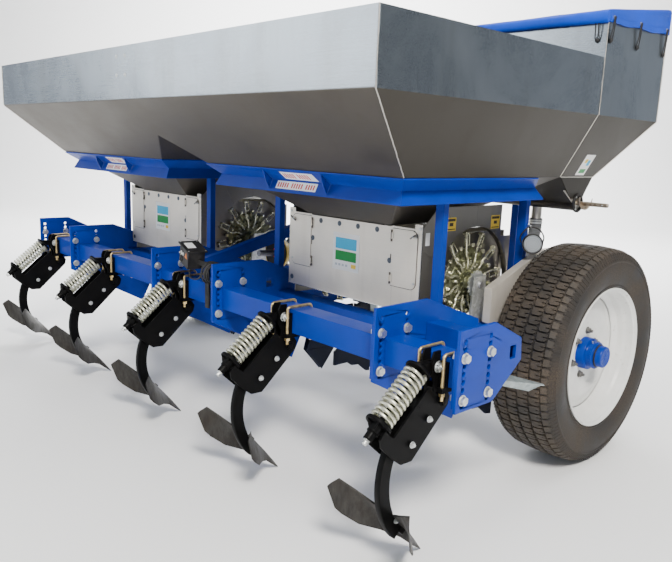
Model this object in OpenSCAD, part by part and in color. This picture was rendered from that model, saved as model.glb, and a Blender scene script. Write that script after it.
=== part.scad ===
// Four-row pick-wheel potato planter with a rear bar of spring-trip tines.
// Millimetres. +X is to the right, +Y is forward (travel), +Z is up, z = 0 is the ground.
// Inside machine(), y is measured forward of the bolt line of the spring tines.

/* [Layout] */
// Spacing of the rows and of the tines
row_pitch = 810; // [805:1:815]
// Number of tines on the rear bar
tine_count = 5; // [5:1:5]
// Distance from the tine bolt line back to the origin
machine_back = 800; // [700:5:900]

/* [Rear bar] */
// Side of the square rear tool bar
bar_size = 100; // [90:1:105]
// Height of the tine bolt above the ground
bolt_z = 680; // [680:1:680]
// Half length of the rear bar, to the outside of the end plates
bar_half = 1755; // [1740:1:1760]
// Thickness of the bolted frame plates
plate_t = 12; // [8:1:14]

/* [Tine] */
// Distance between the outside faces of a tine's two arm plates
arm_width = 66; // [62:1:70]
// Outside radius of the tine's coil spring
spring_r = 43; // [40:0.5:44]
// Wire diameter of the coil spring
spring_wire = 13; // [10:0.5:13]
// Turns of the coil spring
spring_turns = 11; // [8:1:11]
// Radius of the curve of the shank, on its centre line
shank_r = 263; // [258:1:266]

/* [Hoppers] */
// Half width of both hoppers
hopper_half = 1576; // [1560:1:1590]
// Sheet thickness, measured level
sheet = 4; // [3:0.5:4]
// Height of the seed hopper's rim
seed_top = 1781; // [1740:1:1800]
// Height where the upright walls turn into slopes
knuckle_z = 1550; // [1540:1:1560]
// Height of the fertiliser hopper's rim
fert_top = 1950; // [1900:1:1960]

/* [Ground wheels] */
// Radius of the tyre
tyre_r = 494; // [490:1:494]
// Width of the tyre
tyre_w = 313; // [300:1:315]
// Radius of the rim's edge
rim_r = 318; // [312:1:320]
// Distance from the centre line to the middle of a tyre
wheel_x = 1520; // [1518:1:1530]
// Distance of the wheel axle forward of the tine bolts
wheel_y = 1190; // [1185:1:1195]

/* [Pick wheels] */
// Radius at the tips of the picks
pick_r = 235; // [225:1:240]
// Picks on each wheel
pick_count = 12; // [8:1:12]
// Forward position of the pick shaft
pick_y = 735; // [730:1:740]
// Height of the pick shaft
pick_z = 812; // [808:1:816]

/* [Hidden] */
$fn = 48;

gap = 0.3;                  // between neighbouring sheets and across running faces
fit = 0.05;                 // radial clearance of a running fit
blue = "#164a9c";
steel = "#a9a49b";
black = "#1d1d1f";
zinc = "#c9ccc4";

// Tine layout, in the (y, z) plane, from the spring bolt
pivot = [20, -120];                     // trip pivot
seat_low = [-240, -145];                // centre of the lower spring seat
axis_deg = 38.7;                        // slope of the spring below level
along = [-cos(axis_deg), -sin(axis_deg)];
across = [sin(axis_deg), -cos(axis_deg)];
spring_len = 215;                       // fitted length between the seats
seat_top = seat_low - along * spring_len;
shank_c = [50, -370];                   // centre of the shank's curve
shank_w = 48;
shank_t = 25;
bolt_a = [-45, -168];
bolt_b = [-125, -236];
u_bolt_legs = [-1, 126];

// Rear bar and frame
bar_y = 17;                             // rear face of the bar
bar_z = 615;                            // underside of the bar
plate_x = [-1743, -1250, -210, 355, 1390, 1755];
bolt_rows = [-3, 134];                  // columns of plate holes
bolt_heights = [595, 736];
hole_pitch = 27;
rail_y = 350;                           // rear rail
rail_z = 585;
rail_size = 80;
post_x = [-1320, -310, 310, 1320];
post_y = [370, 1000];
side_rail_x = [-1291, -315, 315, 1291];
side_rail_z = 560;
side_rail_w = 50;
front_bar_y = 1500;

// Hoppers
seed_back = -283;
seed_front = 1056;
mid_z = 1285;                           // top of the funnels
mid_half = 1430;
mid_back = 25;
ridge_half = 206;
ridge_z = 1400;
unit_x = 817.5;                         // centre of each picking unit
mouth_x = [561, 1063];                  // bottom of a funnel
mouth_y = [378, 701];
mouth_z = 1066;
fert_back = 1060;
fert_front = 1630;
fert_mid_front = 1353;
auger_y = 1250;
auger_z = 1165;
auger_r = 29;
trough_r = 36;
trough_half = 1414;

// Picking boxes, in a unit's own x
box_half = 417.5;
box_y = 378;
box_low = 712;
box_top = 1085;
box_front = 1000;
bowl_half = 372;
arch_r = 262;
door_in = 252.5;                        // hinge line
door_out = 395;
door_low = 815;
door_high = 1055;

// Hitch
hitch_y = 1830;
hitch_z = 600;
mast_z = 1210;
lower_pin_r = 14.2;
top_bore_r = 12.8;

function tine_x(i) = (i - (tine_count + 1) / 2) * row_pitch;
function slope_y(z) = seed_back + (knuckle_z - z) / (knuckle_z - mid_z) * (mid_back - seed_back);

// Moves a thing from bolt-line measurements to the machine's own origin
module machine() translate([0, -machine_back, 0]) children();
// The same, and a mirrored copy on the left
module both_sides() {
    children();
    mirror([1, 0, 0]) children();
}
// Puts a (y, z) outline on the plane x, with a thickness toward +X
module side_plate(x, t) translate([x, 0, 0]) rotate([90, 0, 90]) linear_extrude(t) children();
// A rod along X, from x0 to x1
module rod_x(x0, x1, r) translate([x0, 0, 0]) rotate([0, 90, 0]) cylinder(h = x1 - x0, r = r);
// A block given by two corners
module block(a, b) translate(a) cube(b - a);
// A closed slab between two outlines with the same number of points, in either order
module slab(outer, inner) {
    n = len(outer);
    swap = cross(outer[1] - outer[0], outer[2] - outer[0]) * (outer[0] - inner[0]) > 0;
    polyhedron(
        swap ? concat(inner, outer) : concat(outer, inner),
        concat(
            [for (i = [1 : n - 2]) [0, i, i + 1]],
            [for (i = [1 : n - 2]) [n, n + i + 1, n + i]],
            [for (i = [0 : n - 1]) [i, n + i, n + (i + 1) % n]],
            [for (i = [0 : n - 1]) [i, n + (i + 1) % n, (i + 1) % n]]
        )
    );
}
// A square tube along Y or Z is drawn from its outline, with a wall
module tube_outline(w, h, wall) difference() {
    square([w, h]);
    translate([wall, wall]) square([w - 2 * wall, h - 2 * wall]);
}
// A hexagon-headed bolt along +X: head outside at x = 0, nut at x = -grip
module bolt_x(r, grip) {
    rod_x(-grip - 1.4 * r, r * 1.2, r);
    rod_x(0, 3, r * 2.1);
    translate([3, 0, 0]) rotate([0, 90, 0]) cylinder(h = r * 1.3, r = r * 1.75, $fn = 6);
    translate([-grip - 1.6 * r, 0, 0]) rotate([0, 90, 0]) cylinder(h = 1.6 * r, r = r * 1.75, $fn = 6);
}

// ---- Spring-trip tines ----
// Places children at a tine's spring bolt
module at_tine(i) machine() translate([tine_x(i), 0, bolt_z]) children();
// Places children at a distance s down the spring's line from the lower seat, looking down it
module on_spring(s) {
    p = seat_low + along * s;
    translate([0, p[0], p[1]]) rotate([90 + axis_deg, 0, 0]) children();
}

module tine_arm(i) {
    edge_a = seat_low + along * 11 + across * 38;
    edge_b = seat_low + along * 11 + across * 8;
    side = [
        [-45, -62], [0, -96], [55, -96], [68, -116], [60, -146], [-112, -300], [-165, -298],
        [-205, -268], [-262, -215], [-268, -186], edge_b, edge_a, [-205, -197]
    ];
    color(black) at_tine(i) {
        for (x = [-arm_width / 2, arm_width / 2 - 8]) difference() {
            side_plate(x, 8) polygon(side);
            translate([0, pivot[0], pivot[1]]) rod_x(-50, 50, 12 + fit);
        }
        difference() {
            union() {
                on_spring(0) cylinder(h = 12, r = 45);
                on_spring(12) cylinder(h = 28, r = 21);
            }
            on_spring(-5) cylinder(h = 60, r = 13);
        }
    }
    color(zinc) at_tine(i) for (p = [bolt_a, bolt_b]) translate([0, p[0], p[1]]) {
        translate([arm_width / 2, 0, 0]) rod_x(0, 8, 11);
        translate([-arm_width / 2, 0, 0]) rod_x(-8, 0, 11);
        both_sides() rod_x(shank_t / 2 + 0.2, arm_width / 2 - 7, 16);
    }
}

module tine_shank(i) {
    slope = atan2(bolt_a[1] - bolt_b[1], bolt_a[0] - bolt_b[0]);
    start = 150;
    stop = 226;
    // Cut back where the two wings of the sweep lie against it
    seat = [[-165, -470], [-164, -487], [-117, -543], [-50, -543], [-50, -470]];
    color(black) at_tine(i) side_plate(-shank_t / 2, shank_t) difference() {
        union() {
            translate(bolt_b) rotate(slope) translate([-62, -shank_w / 2]) square([180, shank_w]);
            intersection() {
                translate(shank_c) difference() {
                    circle(shank_r + shank_w / 2, $fn = 96);
                    circle(shank_r - shank_w / 2, $fn = 96);
                }
                translate(shank_c) polygon([
                    [0, 0], 500 * [cos(start), sin(start)], 500 * [-1, 0.1],
                    500 * [cos(stop), sin(stop)]
                ]);
            }
        }
        polygon(seat);
    }
}

module tine_sweep(i) {
    shift = [0, 4, 5];
    crown = [0.2, -156, -486];
    nose = [0.2, 8, -bolt_z];
    tips = [[157, -254, -389], [182, -283, -428], [168, -255, -497], [122, -182, -564]];
    upper = [crown, tips[0], tips[1], tips[2]];
    lower = [crown, tips[2], tips[3], nose];
    color("#4b4a47") at_tine(i) both_sides() for (wing = [upper, lower])
        slab([for (p = wing) p + shift], wing);
    color(zinc) at_tine(i) translate([0, -138, -503]) rotate([-40, 0, 0]) {
        translate([0, 0, 9]) cylinder(h = 7, r = 11);
    }
}

// One round wire wound along the spring's line
module trip_spring(i) {
    mean = spring_r - spring_wire / 2;
    steps = 8;
    count = spring_turns * steps;
    sides = 6;
    run = spring_len - spring_wire - 2;
    wire = [for (k = [0 : count]) for (j = [0 : sides - 1])
        let (a = 360 * k / steps, b = 360 * j / sides, rr = mean + spring_wire / 2 * cos(b))
        [rr * cos(a), rr * sin(a), spring_wire / 2 + 1 + run * k / count + spring_wire / 2 * sin(b)]];
    color(zinc) at_tine(i) on_spring(-spring_len) polyhedron(wire, concat(
        [[for (j = [0 : sides - 1]) j]],
        [for (k = [0 : count - 1]) for (j = [0 : sides - 1])
            [k * sides + j, (k + 1) * sides + j, (k + 1) * sides + (j + 1) % sides,
             k * sides + (j + 1) % sides]],
        [[for (j = [sides - 1 : -1 : 0]) count * sides + j]]
    ));
}

module spring_rod(i) {
    color(black) at_tine(i) {
        on_spring(-spring_len - 10) cylinder(h = 10, r = 45);
        difference() {
            side_plate(-16.5, 33) {
                circle(16);
                polygon([[-8, 13.5], [4, 15.4], [8, -13.8], [-6, -14.8],
                         seat_top - along * 9 + across * 12, seat_top - along * 9 - across * 30]);
            }
            rod_x(-40, 40, 9 + fit);
        }
        on_spring(-spring_len) cylinder(h = spring_len + 75, r = 9);
    }
    color(zinc) at_tine(i) on_spring(41) cylinder(h = 16, r = 16, $fn = 6);
}

module tine_brackets() {
    face = bar_y - gap;
    ear = [
        [face, 52], [-16, 52], [-26, 30], [-26, -24], [-8, -60], [-14, -128], [2, -156],
        [42, -156], [58, -130], [48, -80], [face, -80]
    ];
    for (i = [1 : tine_count]) color(black) at_tine(i) both_sides() {
        // Ear, rear plate and half of the plate under the bar
        side_plate(17.2, 7.3) polygon(ear);
        block([24, face - 10, -84], [62, face, 20]);
        difference() {
            union() {
                block([0, bar_y, -84], [62, 142, -66]);
                block([40, -14, -84], [62, bar_y + 0.5, -66]);
            }
            for (y = u_bolt_legs) translate([52, y, -100]) cylinder(h = 50, r = 6.4);
        }
        translate([0, pivot[0], pivot[1]]) rod_x(0, 43, 12);
    }
    color(zinc) for (i = [1 : tine_count]) at_tine(i) {
        rod_x(-30, 36, 9);
        translate([24.5, 0, 0]) rod_x(0, 4, 16.5);
        translate([28.5, 0, 0]) rotate([0, 90, 0]) cylinder(h = 12, r = 16, $fn = 6);
        translate([-37.5, 0, 0]) rotate([0, 90, 0]) cylinder(h = 13.5, r = 16, $fn = 6);
    }
}

module tine_u_bolts() {
    r = 6;
    legs = u_bolt_legs;
    top = 38 + r;
    color("#cdb36b") for (i = [1 : tine_count]) at_tine(i) for (x = [-52, 52]) {
        for (y = legs) {
            translate([x, y, -112]) cylinder(h = top + 112 - 12, r = r);
            translate([x, y, -96]) cylinder(h = 11, r = 11, $fn = 6);
        }
        for (k = [0, 1]) translate([x, k == 0 ? legs[0] + 12 : legs[1] - 12, top - 12])
            rotate([0, -90, 0]) rotate([0, 0, k == 0 ? 270 : 0])
            rotate_extrude(angle = 90) translate([12, 0]) circle(r);
        translate([x, legs[0] + 12, top]) rotate([-90, 0, 0])
            cylinder(h = legs[1] - legs[0] - 24, r = r);
    }
}

// ---- Rear bar and frame ----
module tool_bar() {
    wall = 8;
    color(blue) machine() for (k = [0 : len(plate_x) - 2]) {
        x0 = plate_x[k];
        x1 = plate_x[k + 1] - plate_t;
        difference() {
            block([x0, bar_y, bar_z], [x1 - plate_t, bar_y + bar_size, bar_z + bar_size]);
            block([x0 - 1, bar_y + wall, bar_z + wall],
                  [x1, bar_y + bar_size - wall, bar_z + bar_size - wall]);
        }
        difference() {
            block([x1 - plate_t, -30, 565], [x1, 158, 766]);
            for (y = bolt_rows) for (z = bolt_heights) translate([0, y, z]) rod_x(x1 - 50, x1 + 50, 9);
        }
    }
}

module plate_holes(x) {
    rows = [for (k = [0 : 8]) bolt_heights[1] + (k - 6) * hole_pitch];
    for (y = bolt_rows) for (z = concat([for (z = rows) if (abs(z - 601) > 8 && z < 800) z],
                                        bolt_heights))
        translate([x, y, z]) rod_x(-plate_t - 1, 1, 9);
}

module frame_plates() {
    outer = [[-35, 830], [160, 830], [320, 753], [330, 670], [170, 552], [-35, 553]];
    inner = [[-35, 830], [250, 830], [585, 705], [585, 560], [450, 300], [-35, 558]];
    color(blue) machine() for (k = [0 : len(plate_x) - 1]) {
        x = plate_x[k];
        end = k == 0 || k == len(plate_x) - 1;
        difference() {
            side_plate(x - plate_t, plate_t) polygon(end ? outer : inner);
            plate_holes(x);
            if (end) block([x - 50, 255, 685], [x + 50, 290, 732]);
            else block([x - 50, rail_y, rail_z], [x + 50, rail_y + rail_size, rail_z + rail_size]);
            if (k == 2 || k == 3) block([x - 50, 275, 690], [x + 50, 315, 735]);
        }
    }
    // Short tubes that tie the end plates to the next plates
    color(blue) machine() for (ends = [[-1742.6, -1262.4], [1390.4, 1742.6]]) {
        translate([ends[0], 245, 665]) rotate([90, 0, 90])
            linear_extrude(ends[1] - ends[0]) tube_outline(75, 75, 5);
    }
}

module plate_bolts() {
    color(zinc) machine() for (k = [0 : len(plate_x) - 1]) for (y = bolt_rows) for (z = bolt_heights)
        translate([plate_x[k], y, z]) bolt_x(9, k == 0 ? plate_t : 2 * plate_t);
}

module main_frame() {
    wall = 6;
    color(blue) machine() {
        // Rear rail
        translate([-1340, rail_y, rail_z]) rotate([90, 0, 90])
            linear_extrude(2680) tube_outline(rail_size, rail_size, wall);
        // Side rails
        for (x = side_rail_x) difference() {
            block([x - side_rail_w / 2, rail_y + rail_size, side_rail_z],
                  [x + side_rail_w / 2, front_bar_y, side_rail_z + 80]);
            block([x - side_rail_w / 2 + wall, rail_y, side_rail_z + wall],
                  [x + side_rail_w / 2 - wall, front_bar_y + 1, side_rail_z + 80 - wall]);
        }
        // Front bar
        translate([-1340, front_bar_y, side_rail_z]) rotate([90, 0, 90])
            linear_extrude(2680) tube_outline(80, 80, wall);
        // Axle hangers
        both_sides() difference() {
            block([1266, wheel_y - 60, 420], [1300, wheel_y + 60, side_rail_z]);
            translate([0, wheel_y, tyre_r]) rod_x(1200, 1400, 25);
        }
        // Stays under the fertiliser hopper
        both_sides() difference() {
            block([900, 1520, side_rail_z + 80], [940, 1560, 1520]);
            translate([0, fert_mid_front, mid_z]) rotate([43.7, 0, 0])
                translate([800, -200, -8]) cube([300, 900, 600]);
        }
    }
}

module hopper_posts() {
    color(blue) machine() for (x = post_x) for (k = [0, 1]) {
        low = k == 0 ? rail_z + rail_size : side_rail_z + 80;
        foot = k == 1 && abs(x) > 1000 ? sign(x) * 1291 : x;
        translate([foot - 20, post_y[k], low]) linear_extrude(1180 - low)
            tube_outline(40, 32, 4);
    }
}

// A V-shaped ledge under the four sides of a funnel, with gussets in the rear one
module hopper_cradles() {
    t = 5;
    top = [mid_back, mid_z - 3];
    fold = [88, 1238];
    low = [64, 1189];
    inner_x = [ridge_half, fold[0] + 157, fold[0] + 140];
    outer_x = [mid_half, mid_half - 63, mid_half - 40];
    front_y = [880, 960, 1000];
    y = [top[0], fold[0], low[0]];
    z = [top[1], fold[1], low[1]];
    color(blue) machine() both_sides() {
        for (k = [0, 1]) {
            a = k;
            b = k + 1;
            // Rear, right, left and front legs of the ledge
            slab([[inner_x[a], y[a], z[a]], [outer_x[a] - gap, y[a], z[a]],
                  [outer_x[b] - gap, y[b], z[b]], [inner_x[b], y[b], z[b]]],
                 [[inner_x[a], y[a] - 0.1, z[a] - t], [outer_x[a] - gap, y[a] - 0.1, z[a] - t],
                  [outer_x[b] - gap, y[b] - 0.1, z[b] - t], [inner_x[b], y[b] - 0.1, z[b] - t]]);
            slab([[outer_x[a], y[a] + gap, z[a]], [outer_x[a], front_y[a], z[a]],
                  [outer_x[b], front_y[b], z[b]], [outer_x[b], y[b] + gap, z[b]]],
                 [[outer_x[a], y[a] + gap, z[a] - t], [outer_x[a], front_y[a], z[a] - t],
                  [outer_x[b], front_y[b], z[b] - t], [outer_x[b], y[b] + gap, z[b] - t]]);
            slab([[inner_x[b], y[b] + gap, z[b]], [inner_x[b], front_y[b], z[b]],
                  [inner_x[a], front_y[a], z[a]], [inner_x[a], y[a] + gap, z[a]]],
                 [[inner_x[b], y[b] + gap, z[b] - t], [inner_x[b], front_y[b], z[b] - t],
                  [inner_x[a], front_y[a], z[a] - t], [inner_x[a], y[a] + gap, z[a] - t]]);
        }
        // Gussets
        for (x = [635, 1000]) side_plate(x - 3, 6)
            polygon([top + [4, -9], fold + [-2, 0] + [-7, -4], low + [-1, 6], top + [18, -50]]);
    }
}

// ---- Hoppers ----
// The four level-topped walls between two level rectangles [x0, x1, y0, y1, z]
module walls(lo, hi, sides) {
    t = sheet;
    g = gap / 2;
    function corner(r, i, in) =
        [i == 0 || i == 3 ? r[0] + in : r[1] - in, i < 2 ? r[2] + in : r[3] - in, r[4]];
    for (s = sides) {
        a = s;
        b = (s + 1) % 4;
        dir = [[1, 0, 0], [0, 1, 0], [-1, 0, 0], [0, -1, 0]][s] * g;
        up = [0, 0, g];
        slab([corner(lo, a, 0) + dir + up, corner(lo, b, 0) - dir + up,
              corner(hi, b, 0) - dir - up, corner(hi, a, 0) + dir - up],
             [corner(lo, a, t) + dir + up, corner(lo, b, t) - dir + up,
              corner(hi, b, t) - dir - up, corner(hi, a, t) + dir - up]);
    }
}

module seed_hopper() {
    h = hopper_half;
    top = [-h, h, seed_back, seed_front, seed_top];
    knuckle = [-h, h, seed_back, seed_front, knuckle_z];
    mid = [-mid_half, mid_half, mid_back, seed_front, mid_z];
    t = [0, sheet, 0];
    e = gap / 2;
    color(steel) machine() {
        walls(knuckle, top, [0, 1, 2, 3]);
        walls(mid, knuckle, [1, 2, 3]);
        // Rear slope, in two halves that rise to the ridge in the middle
        both_sides() slab(
            [for (p = [[h - e, knuckle_z - e], [e, knuckle_z - e], [e, ridge_z + 1],
                       [ridge_half, mid_z + e], [mid_half - e, mid_z + e]])
                [p[0], slope_y(p[1]), p[1]]],
            [for (p = [[h - e - sheet, knuckle_z - e], [e, knuckle_z - e], [e, ridge_z + 1],
                       [ridge_half, mid_z + e], [mid_half - e - sheet, mid_z + e]])
                [p[0], slope_y(p[1]), p[1]] + t]);
        // Ridge between the two funnels
        both_sides() slab(
            [[e, slope_y(ridge_z) + 6, ridge_z], [e, seed_front - 5, ridge_z],
             [ridge_half - 1, seed_front - 5, mid_z + 1], [ridge_half - 1, mid_back + 6, mid_z + 1]],
            [[e, slope_y(ridge_z) + 6, ridge_z - 4], [e, seed_front - 5, ridge_z - 4],
             [ridge_half - 1, seed_front - 5, mid_z - 3], [ridge_half - 1, mid_back + 6, mid_z - 3]]);
        // Four rivets on the rear wall
        for (x = [-52, 30]) for (z = [1657, 1738])
            translate([x, seed_back + 0.5, z]) rotate([90, 0, 0]) cylinder(h = 3.5, r = 7);
    }
}

module seed_funnels() {
    color(steel) machine() both_sides()
        walls([mouth_x[0], mouth_x[1], mouth_y[0], mouth_y[1], mouth_z],
              [ridge_half, mid_half, mid_back, seed_front, mid_z - 0.2], [0, 1, 2, 3]);
}

module fertiliser_hopper() {
    h = hopper_half;
    knuckle = [-h, h, fert_back, fert_front, knuckle_z];
    color(steel) machine() {
        walls(knuckle, [-h, h, fert_back, fert_front, fert_top], [0, 1, 2, 3]);
        walls([-mid_half, mid_half, fert_back, fert_mid_front, mid_z], knuckle, [0, 1, 2, 3]);
    }
}

module fertiliser_trough() {
    half_end = auger_y + trough_r;
    color(steel) machine() {
        walls([-trough_half, trough_half, auger_y - trough_r, half_end, auger_z],
              [-trough_half, trough_half, fert_back, fert_mid_front, mid_z - 0.2], [0, 2]);
        // Round bottom under the auger
        side_plate(-trough_half, 2 * trough_half) translate([auger_y, auger_z]) difference() {
            circle(trough_r);
            circle(trough_r - 4);
            translate([-60, 0]) square([120, 60]);
        }
        // End plates, with the auger's outlet
        both_sides() side_plate(trough_half, 4) difference() {
            polygon([[fert_back, mid_z - 0.2], [auger_y - trough_r, 1126], [half_end, 1126],
                     [fert_mid_front, mid_z - 0.2]]);
            translate([auger_y, auger_z]) circle(trough_r - 4);
        }
    }
    color(black) machine() both_sides() side_plate(trough_half + 4, 10)
        translate([auger_y, auger_z]) difference() {
            circle(trough_r + 8);
            circle(trough_r - 4);
        }
    // Outlet spouts over the rows
    color(steel) machine() both_sides() for (x = [405, 1215]) translate([x, auger_y, 1058])
        difference() {
            cylinder(h = 70, r = 26);
            translate([0, 0, -1]) cylinder(h = 72, r = 22);
        }
}

module auger() {
    pitch = 58;
    tip = 1568;
    flights = 52;
    color("#9c8f78") machine() translate([0, auger_y, auger_z]) difference() {
        union() {
            rod_x(-1500, tip - 70, 10);
            rod_x(tip - 71, tip, 9.5);
            for (k = [0 : flights - 1]) translate([(k - (flights - 1) / 2) * pitch, 0, 0]) intersection() {
                rotate([0, 0, 22]) rod_x(-1.5, 1.5, auger_r + 6);
                rod_x(-40, 40, auger_r);
            }
        }
        translate([tip - 22, 0, 0]) rotate([90, 0, 0]) cylinder(h = 60, r = 3.5, center = true);
    }
}

// Tarpaulin cover: a sloped top with hems, rolled at the rear
module tarp() {
    t = 4;
    back = fert_back - 8;
    front = fert_front + 8;
    half = hopper_half + 8;
    hem_z = 1918;
    rear_z = 1974;
    front_z = 2064;
    color("#1c3fb8") machine() {
        walls([-half, half, back, front, hem_z], [-half, half, back, front, fert_top + 6], [0, 2]);
        slab([[-half, back, rear_z], [half, back, rear_z], [half, front, front_z],
              [-half, front, front_z]],
             [[-half, back, rear_z - t], [half, back, rear_z - t], [half, front, front_z - t],
              [-half, front, front_z - t]]);
        both_sides() side_plate(half - t, t) polygon([
            [back + 6, hem_z], [front - 6, hem_z], [front - 6, front_z - 6], [back + 6, rear_z - 6]
        ]);
        block([-half + 6, front - t, fert_top + 8], [half - 6, front, front_z - 5]);
        block([-half + 6, back, fert_top + 8], [half - 6, back + t, rear_z - 5]);
    }
}

// Rubber tie-down straps with their knobs
module tarp_straps() {
    rear = fert_back - 8;
    side = hopper_half + 8;
    color(black) machine() {
        both_sides() for (y = [1085, 1330, 1600]) {
            block([side + 0.5, y - 11, 1850], [side + 6.5, y - 5, 1955]);
            block([side + 0.5, y + 5, 1850], [side + 6.5, y + 11, 1955]);
            translate([0, y, 1850]) rod_x(hopper_half, side + 9, 9);
        }
        both_sides() for (x = [1535]) {
            block([x - 11, rear - 6.5, 1850], [x - 5, rear - 0.5, 1955]);
            block([x + 5, rear - 6.5, 1850], [x + 11, rear - 0.5, 1955]);
            translate([x, rear - 9, 1850]) rotate([-90, 0, 0]) cylinder(h = 17, r = 9);
        }
        both_sides() for (x = [300, 900, 1500]) {
            block([x - 9, fert_front + 8.5, 1850], [x + 9, fert_front + 14, 1955]);
            translate([x, fert_front, 1850]) rotate([-90, 0, 0]) cylinder(h = 17, r = 9);
        }
    }
}

// ---- Picking boxes ----
// Runs children at each unit, in the unit's own x
module units() machine() for (s = [-1, 1]) translate([s * unit_x, 0, 0]) children();

module picking_boxes() {
    t = 3;
    hole = [door_in + 12, door_out - 18, door_low + 18, door_high - 18];
    front_x = 302;
    floor_half = bowl_half - 4;
    floor_z = 669;
    module rear_piece(x0, x1, z0, z1)
        block([x0 + gap / 2, box_y, z0], [x1 - gap / 2, box_y + t, z1]);
    color(steel) units() {
        // Rear panel, in pieces round the two clean-out openings
        translate([0, box_y + t, 0]) rotate([90, 0, 0]) linear_extrude(t) polygon([
            [-hole[0], box_low], [hole[0], box_low], [hole[0], 1070], [245, 1062],
            [-255, 1062], [-hole[0], 1070]
        ]);
        both_sides() {
            rear_piece(hole[0], hole[1], box_low, hole[2]);
            rear_piece(hole[0], hole[1], hole[3], 1066);
            rear_piece(hole[1], box_half, box_low, box_top);
            // Bowl ends: the pick wheels turn in their round openings
            for (k = [0 : 3]) difference() {
                side_plate(bowl_half - t, t) polygon([
                    [[381.5, 672], [pick_y - gap, 672], [pick_y - gap, pick_z - gap],
                     [381.5, pick_z - gap]],
                    [[pick_y, 672], [box_front, 672], [box_front, pick_z - gap],
                     [pick_y, pick_z - gap]],
                    [[381.5, pick_z], [pick_y - gap, pick_z], [pick_y - gap, 1030], [381.5, 1055]],
                    [[pick_y, pick_z], [box_front, pick_z], [box_front, 1030], [pick_y, 1030]]
                ][k]);
                translate([0, pick_y, pick_z]) rod_x(0, 500, 150);
            }
            // Door hinge pins, standing between their lugs
            for (z = [door_low + 20, door_high - 40]) {
                translate([door_in, box_y - 7, z - 14]) cylinder(h = 48, r = 2.2);
                for (k = [-14, 24]) block([door_in - 4.5, box_y - 11.5, z + k],
                                          [door_in + 4.5, box_y, z + k + 10]);
            }
        }
        // Front wall and floor
        block([-386, box_front + gap, 712], [386, box_front + gap + t, 1030]);
        slab([[-floor_half, 382, 712], [floor_half, 382, 712],
              [floor_half, 640, floor_z], [-floor_half, 640, floor_z]],
             [[-floor_half, 382, 712 + t], [floor_half, 382, 712 + t],
              [floor_half, 640, floor_z + t], [-floor_half, 640, floor_z + t]]);
        block([-floor_half, 640 + gap, floor_z], [floor_half, 830, floor_z + t]);
        slab([[-floor_half, 830 + gap, floor_z], [floor_half, 830 + gap, floor_z],
              [floor_half, 1000, 760], [-floor_half, 1000, 760]],
             [[-floor_half, 830 + gap, floor_z + t], [floor_half, 830 + gap, floor_z + t],
              [floor_half, 1000, 760 + t], [-floor_half, 1000, 760 + t]]);
        // Cover in front of the funnel
        block([-front_x, 770, 1034], [front_x, box_front, 1037]);
    }
}

// Stainless sheets with an arch over each pick wheel, in sectors
module side_covers() {
    t = 3;
    centre = [pick_y + 5, pick_z - 12];
    sectors = 6;
    low_deg = -5;
    high_deg = 185;
    step = (high_deg - low_deg) / sectors;
    color(steel) units() both_sides() for (k = [0 : sectors - 1]) {
        a = low_deg + k * step;
        side_plate(box_half - t, t) intersection() {
            polygon([
                [384, 760], [384, 1075], [470, 1152], [925, 1152], [925, 1010], [1005, 1010], [1005, 760]
            ]);
            translate(centre) difference() {
                polygon([[0, 0], 700 * [cos(a + 0.05), sin(a + 0.05)],
                         900 * [cos(a + step / 2), sin(a + step / 2)],
                         700 * [cos(a + step - 0.05), sin(a + step - 0.05)]]);
                circle(arch_r, $fn = 96);
            }
        }
        // Rolled lip
        translate([box_half - 28, centre[0], centre[1]]) rotate([0, 90, 0]) rotate([0, 0, 90 + a + 0.05])
            rotate_extrude(angle = step - 0.1) translate([arch_r, 0]) square([3, 24.7]);
    }
}

// Clean-out doors on the rear panels. Door n is at unit side s, on hand h of the unit
module box_door(s, h) {
    barrel = 23;
    color(steel) machine() translate([s * unit_x, 0, 0]) mirror([h < 0 ? 1 : 0, 0, 0]) {
        translate([0, box_y - gap, 0]) rotate([90, 0, 0]) linear_extrude(3) {
            translate([door_in + 6, door_low]) square([door_out - door_in - 36, door_high - door_low]);
            translate([door_out - 31, door_low + 30]) square([31, door_high - door_low - 60]);
            for (z = [door_low + 30, door_high - 30]) translate([door_out - 30, z]) circle(30);
        }
        for (z = [door_low + 20, door_high - 40]) difference() {
            union() {
                translate([door_in, box_y - 7, z - 3.7]) cylinder(h = barrel + 4.4, r = 4.5);
                block([door_in, box_y - 6, z - 3.7], [door_in + 14, box_y - 3.2, z + barrel + 0.7]);
            }
            translate([door_in, box_y - 7, z - 20]) cylinder(h = 60, r = 2.2 + fit);
        }
        // Turn-button
        translate([door_out - 18, box_y - 3.3, door_high - 22]) rotate([90, 0, 0]) cylinder(h = 8, r = 8);
    }
}

// ---- Pick wheels ----
module pick_wheel() {
    disc_r = 150;
    rod_x(-8, -2, disc_r);
    rod_x(-10, 34, 34);
    for (k = [0 : pick_count - 1]) rotate([360 * k / pick_count, 0, 0]) {
        block([-2, -4, 55], [8, 4, 150]);
        block([8, -4, 118], [18, 4, pick_r - 12]);
        block([4, -15, pick_r - 52], [8, 15, pick_r - 46]);
        block([4, -15, pick_r - 46], [8, -10, pick_r - 12]);
        block([4, 10, pick_r - 46], [8, 15, pick_r - 12]);
        block([-6, -15, pick_r - 12], [18, 15, pick_r - 4]);
    }
}

module pick_wheels(s) {
    color("#b9b58c") machine() translate([s * unit_x, pick_y, pick_z]) {
        mirror([s < 0 ? 1 : 0, 0, 0]) {
            for (m = [0, 1]) mirror([m, 0, 0]) difference() {
                translate([388, 0, 0]) pick_wheel();
                rod_x(-600, 600, 15);
            }
            rod_x(-502, 470, 15);
            // Sprocket
            difference() {
                rod_x(436, 444, 60);
                rod_x(400, 600, 15);
            }
        }
    }
}

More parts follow.
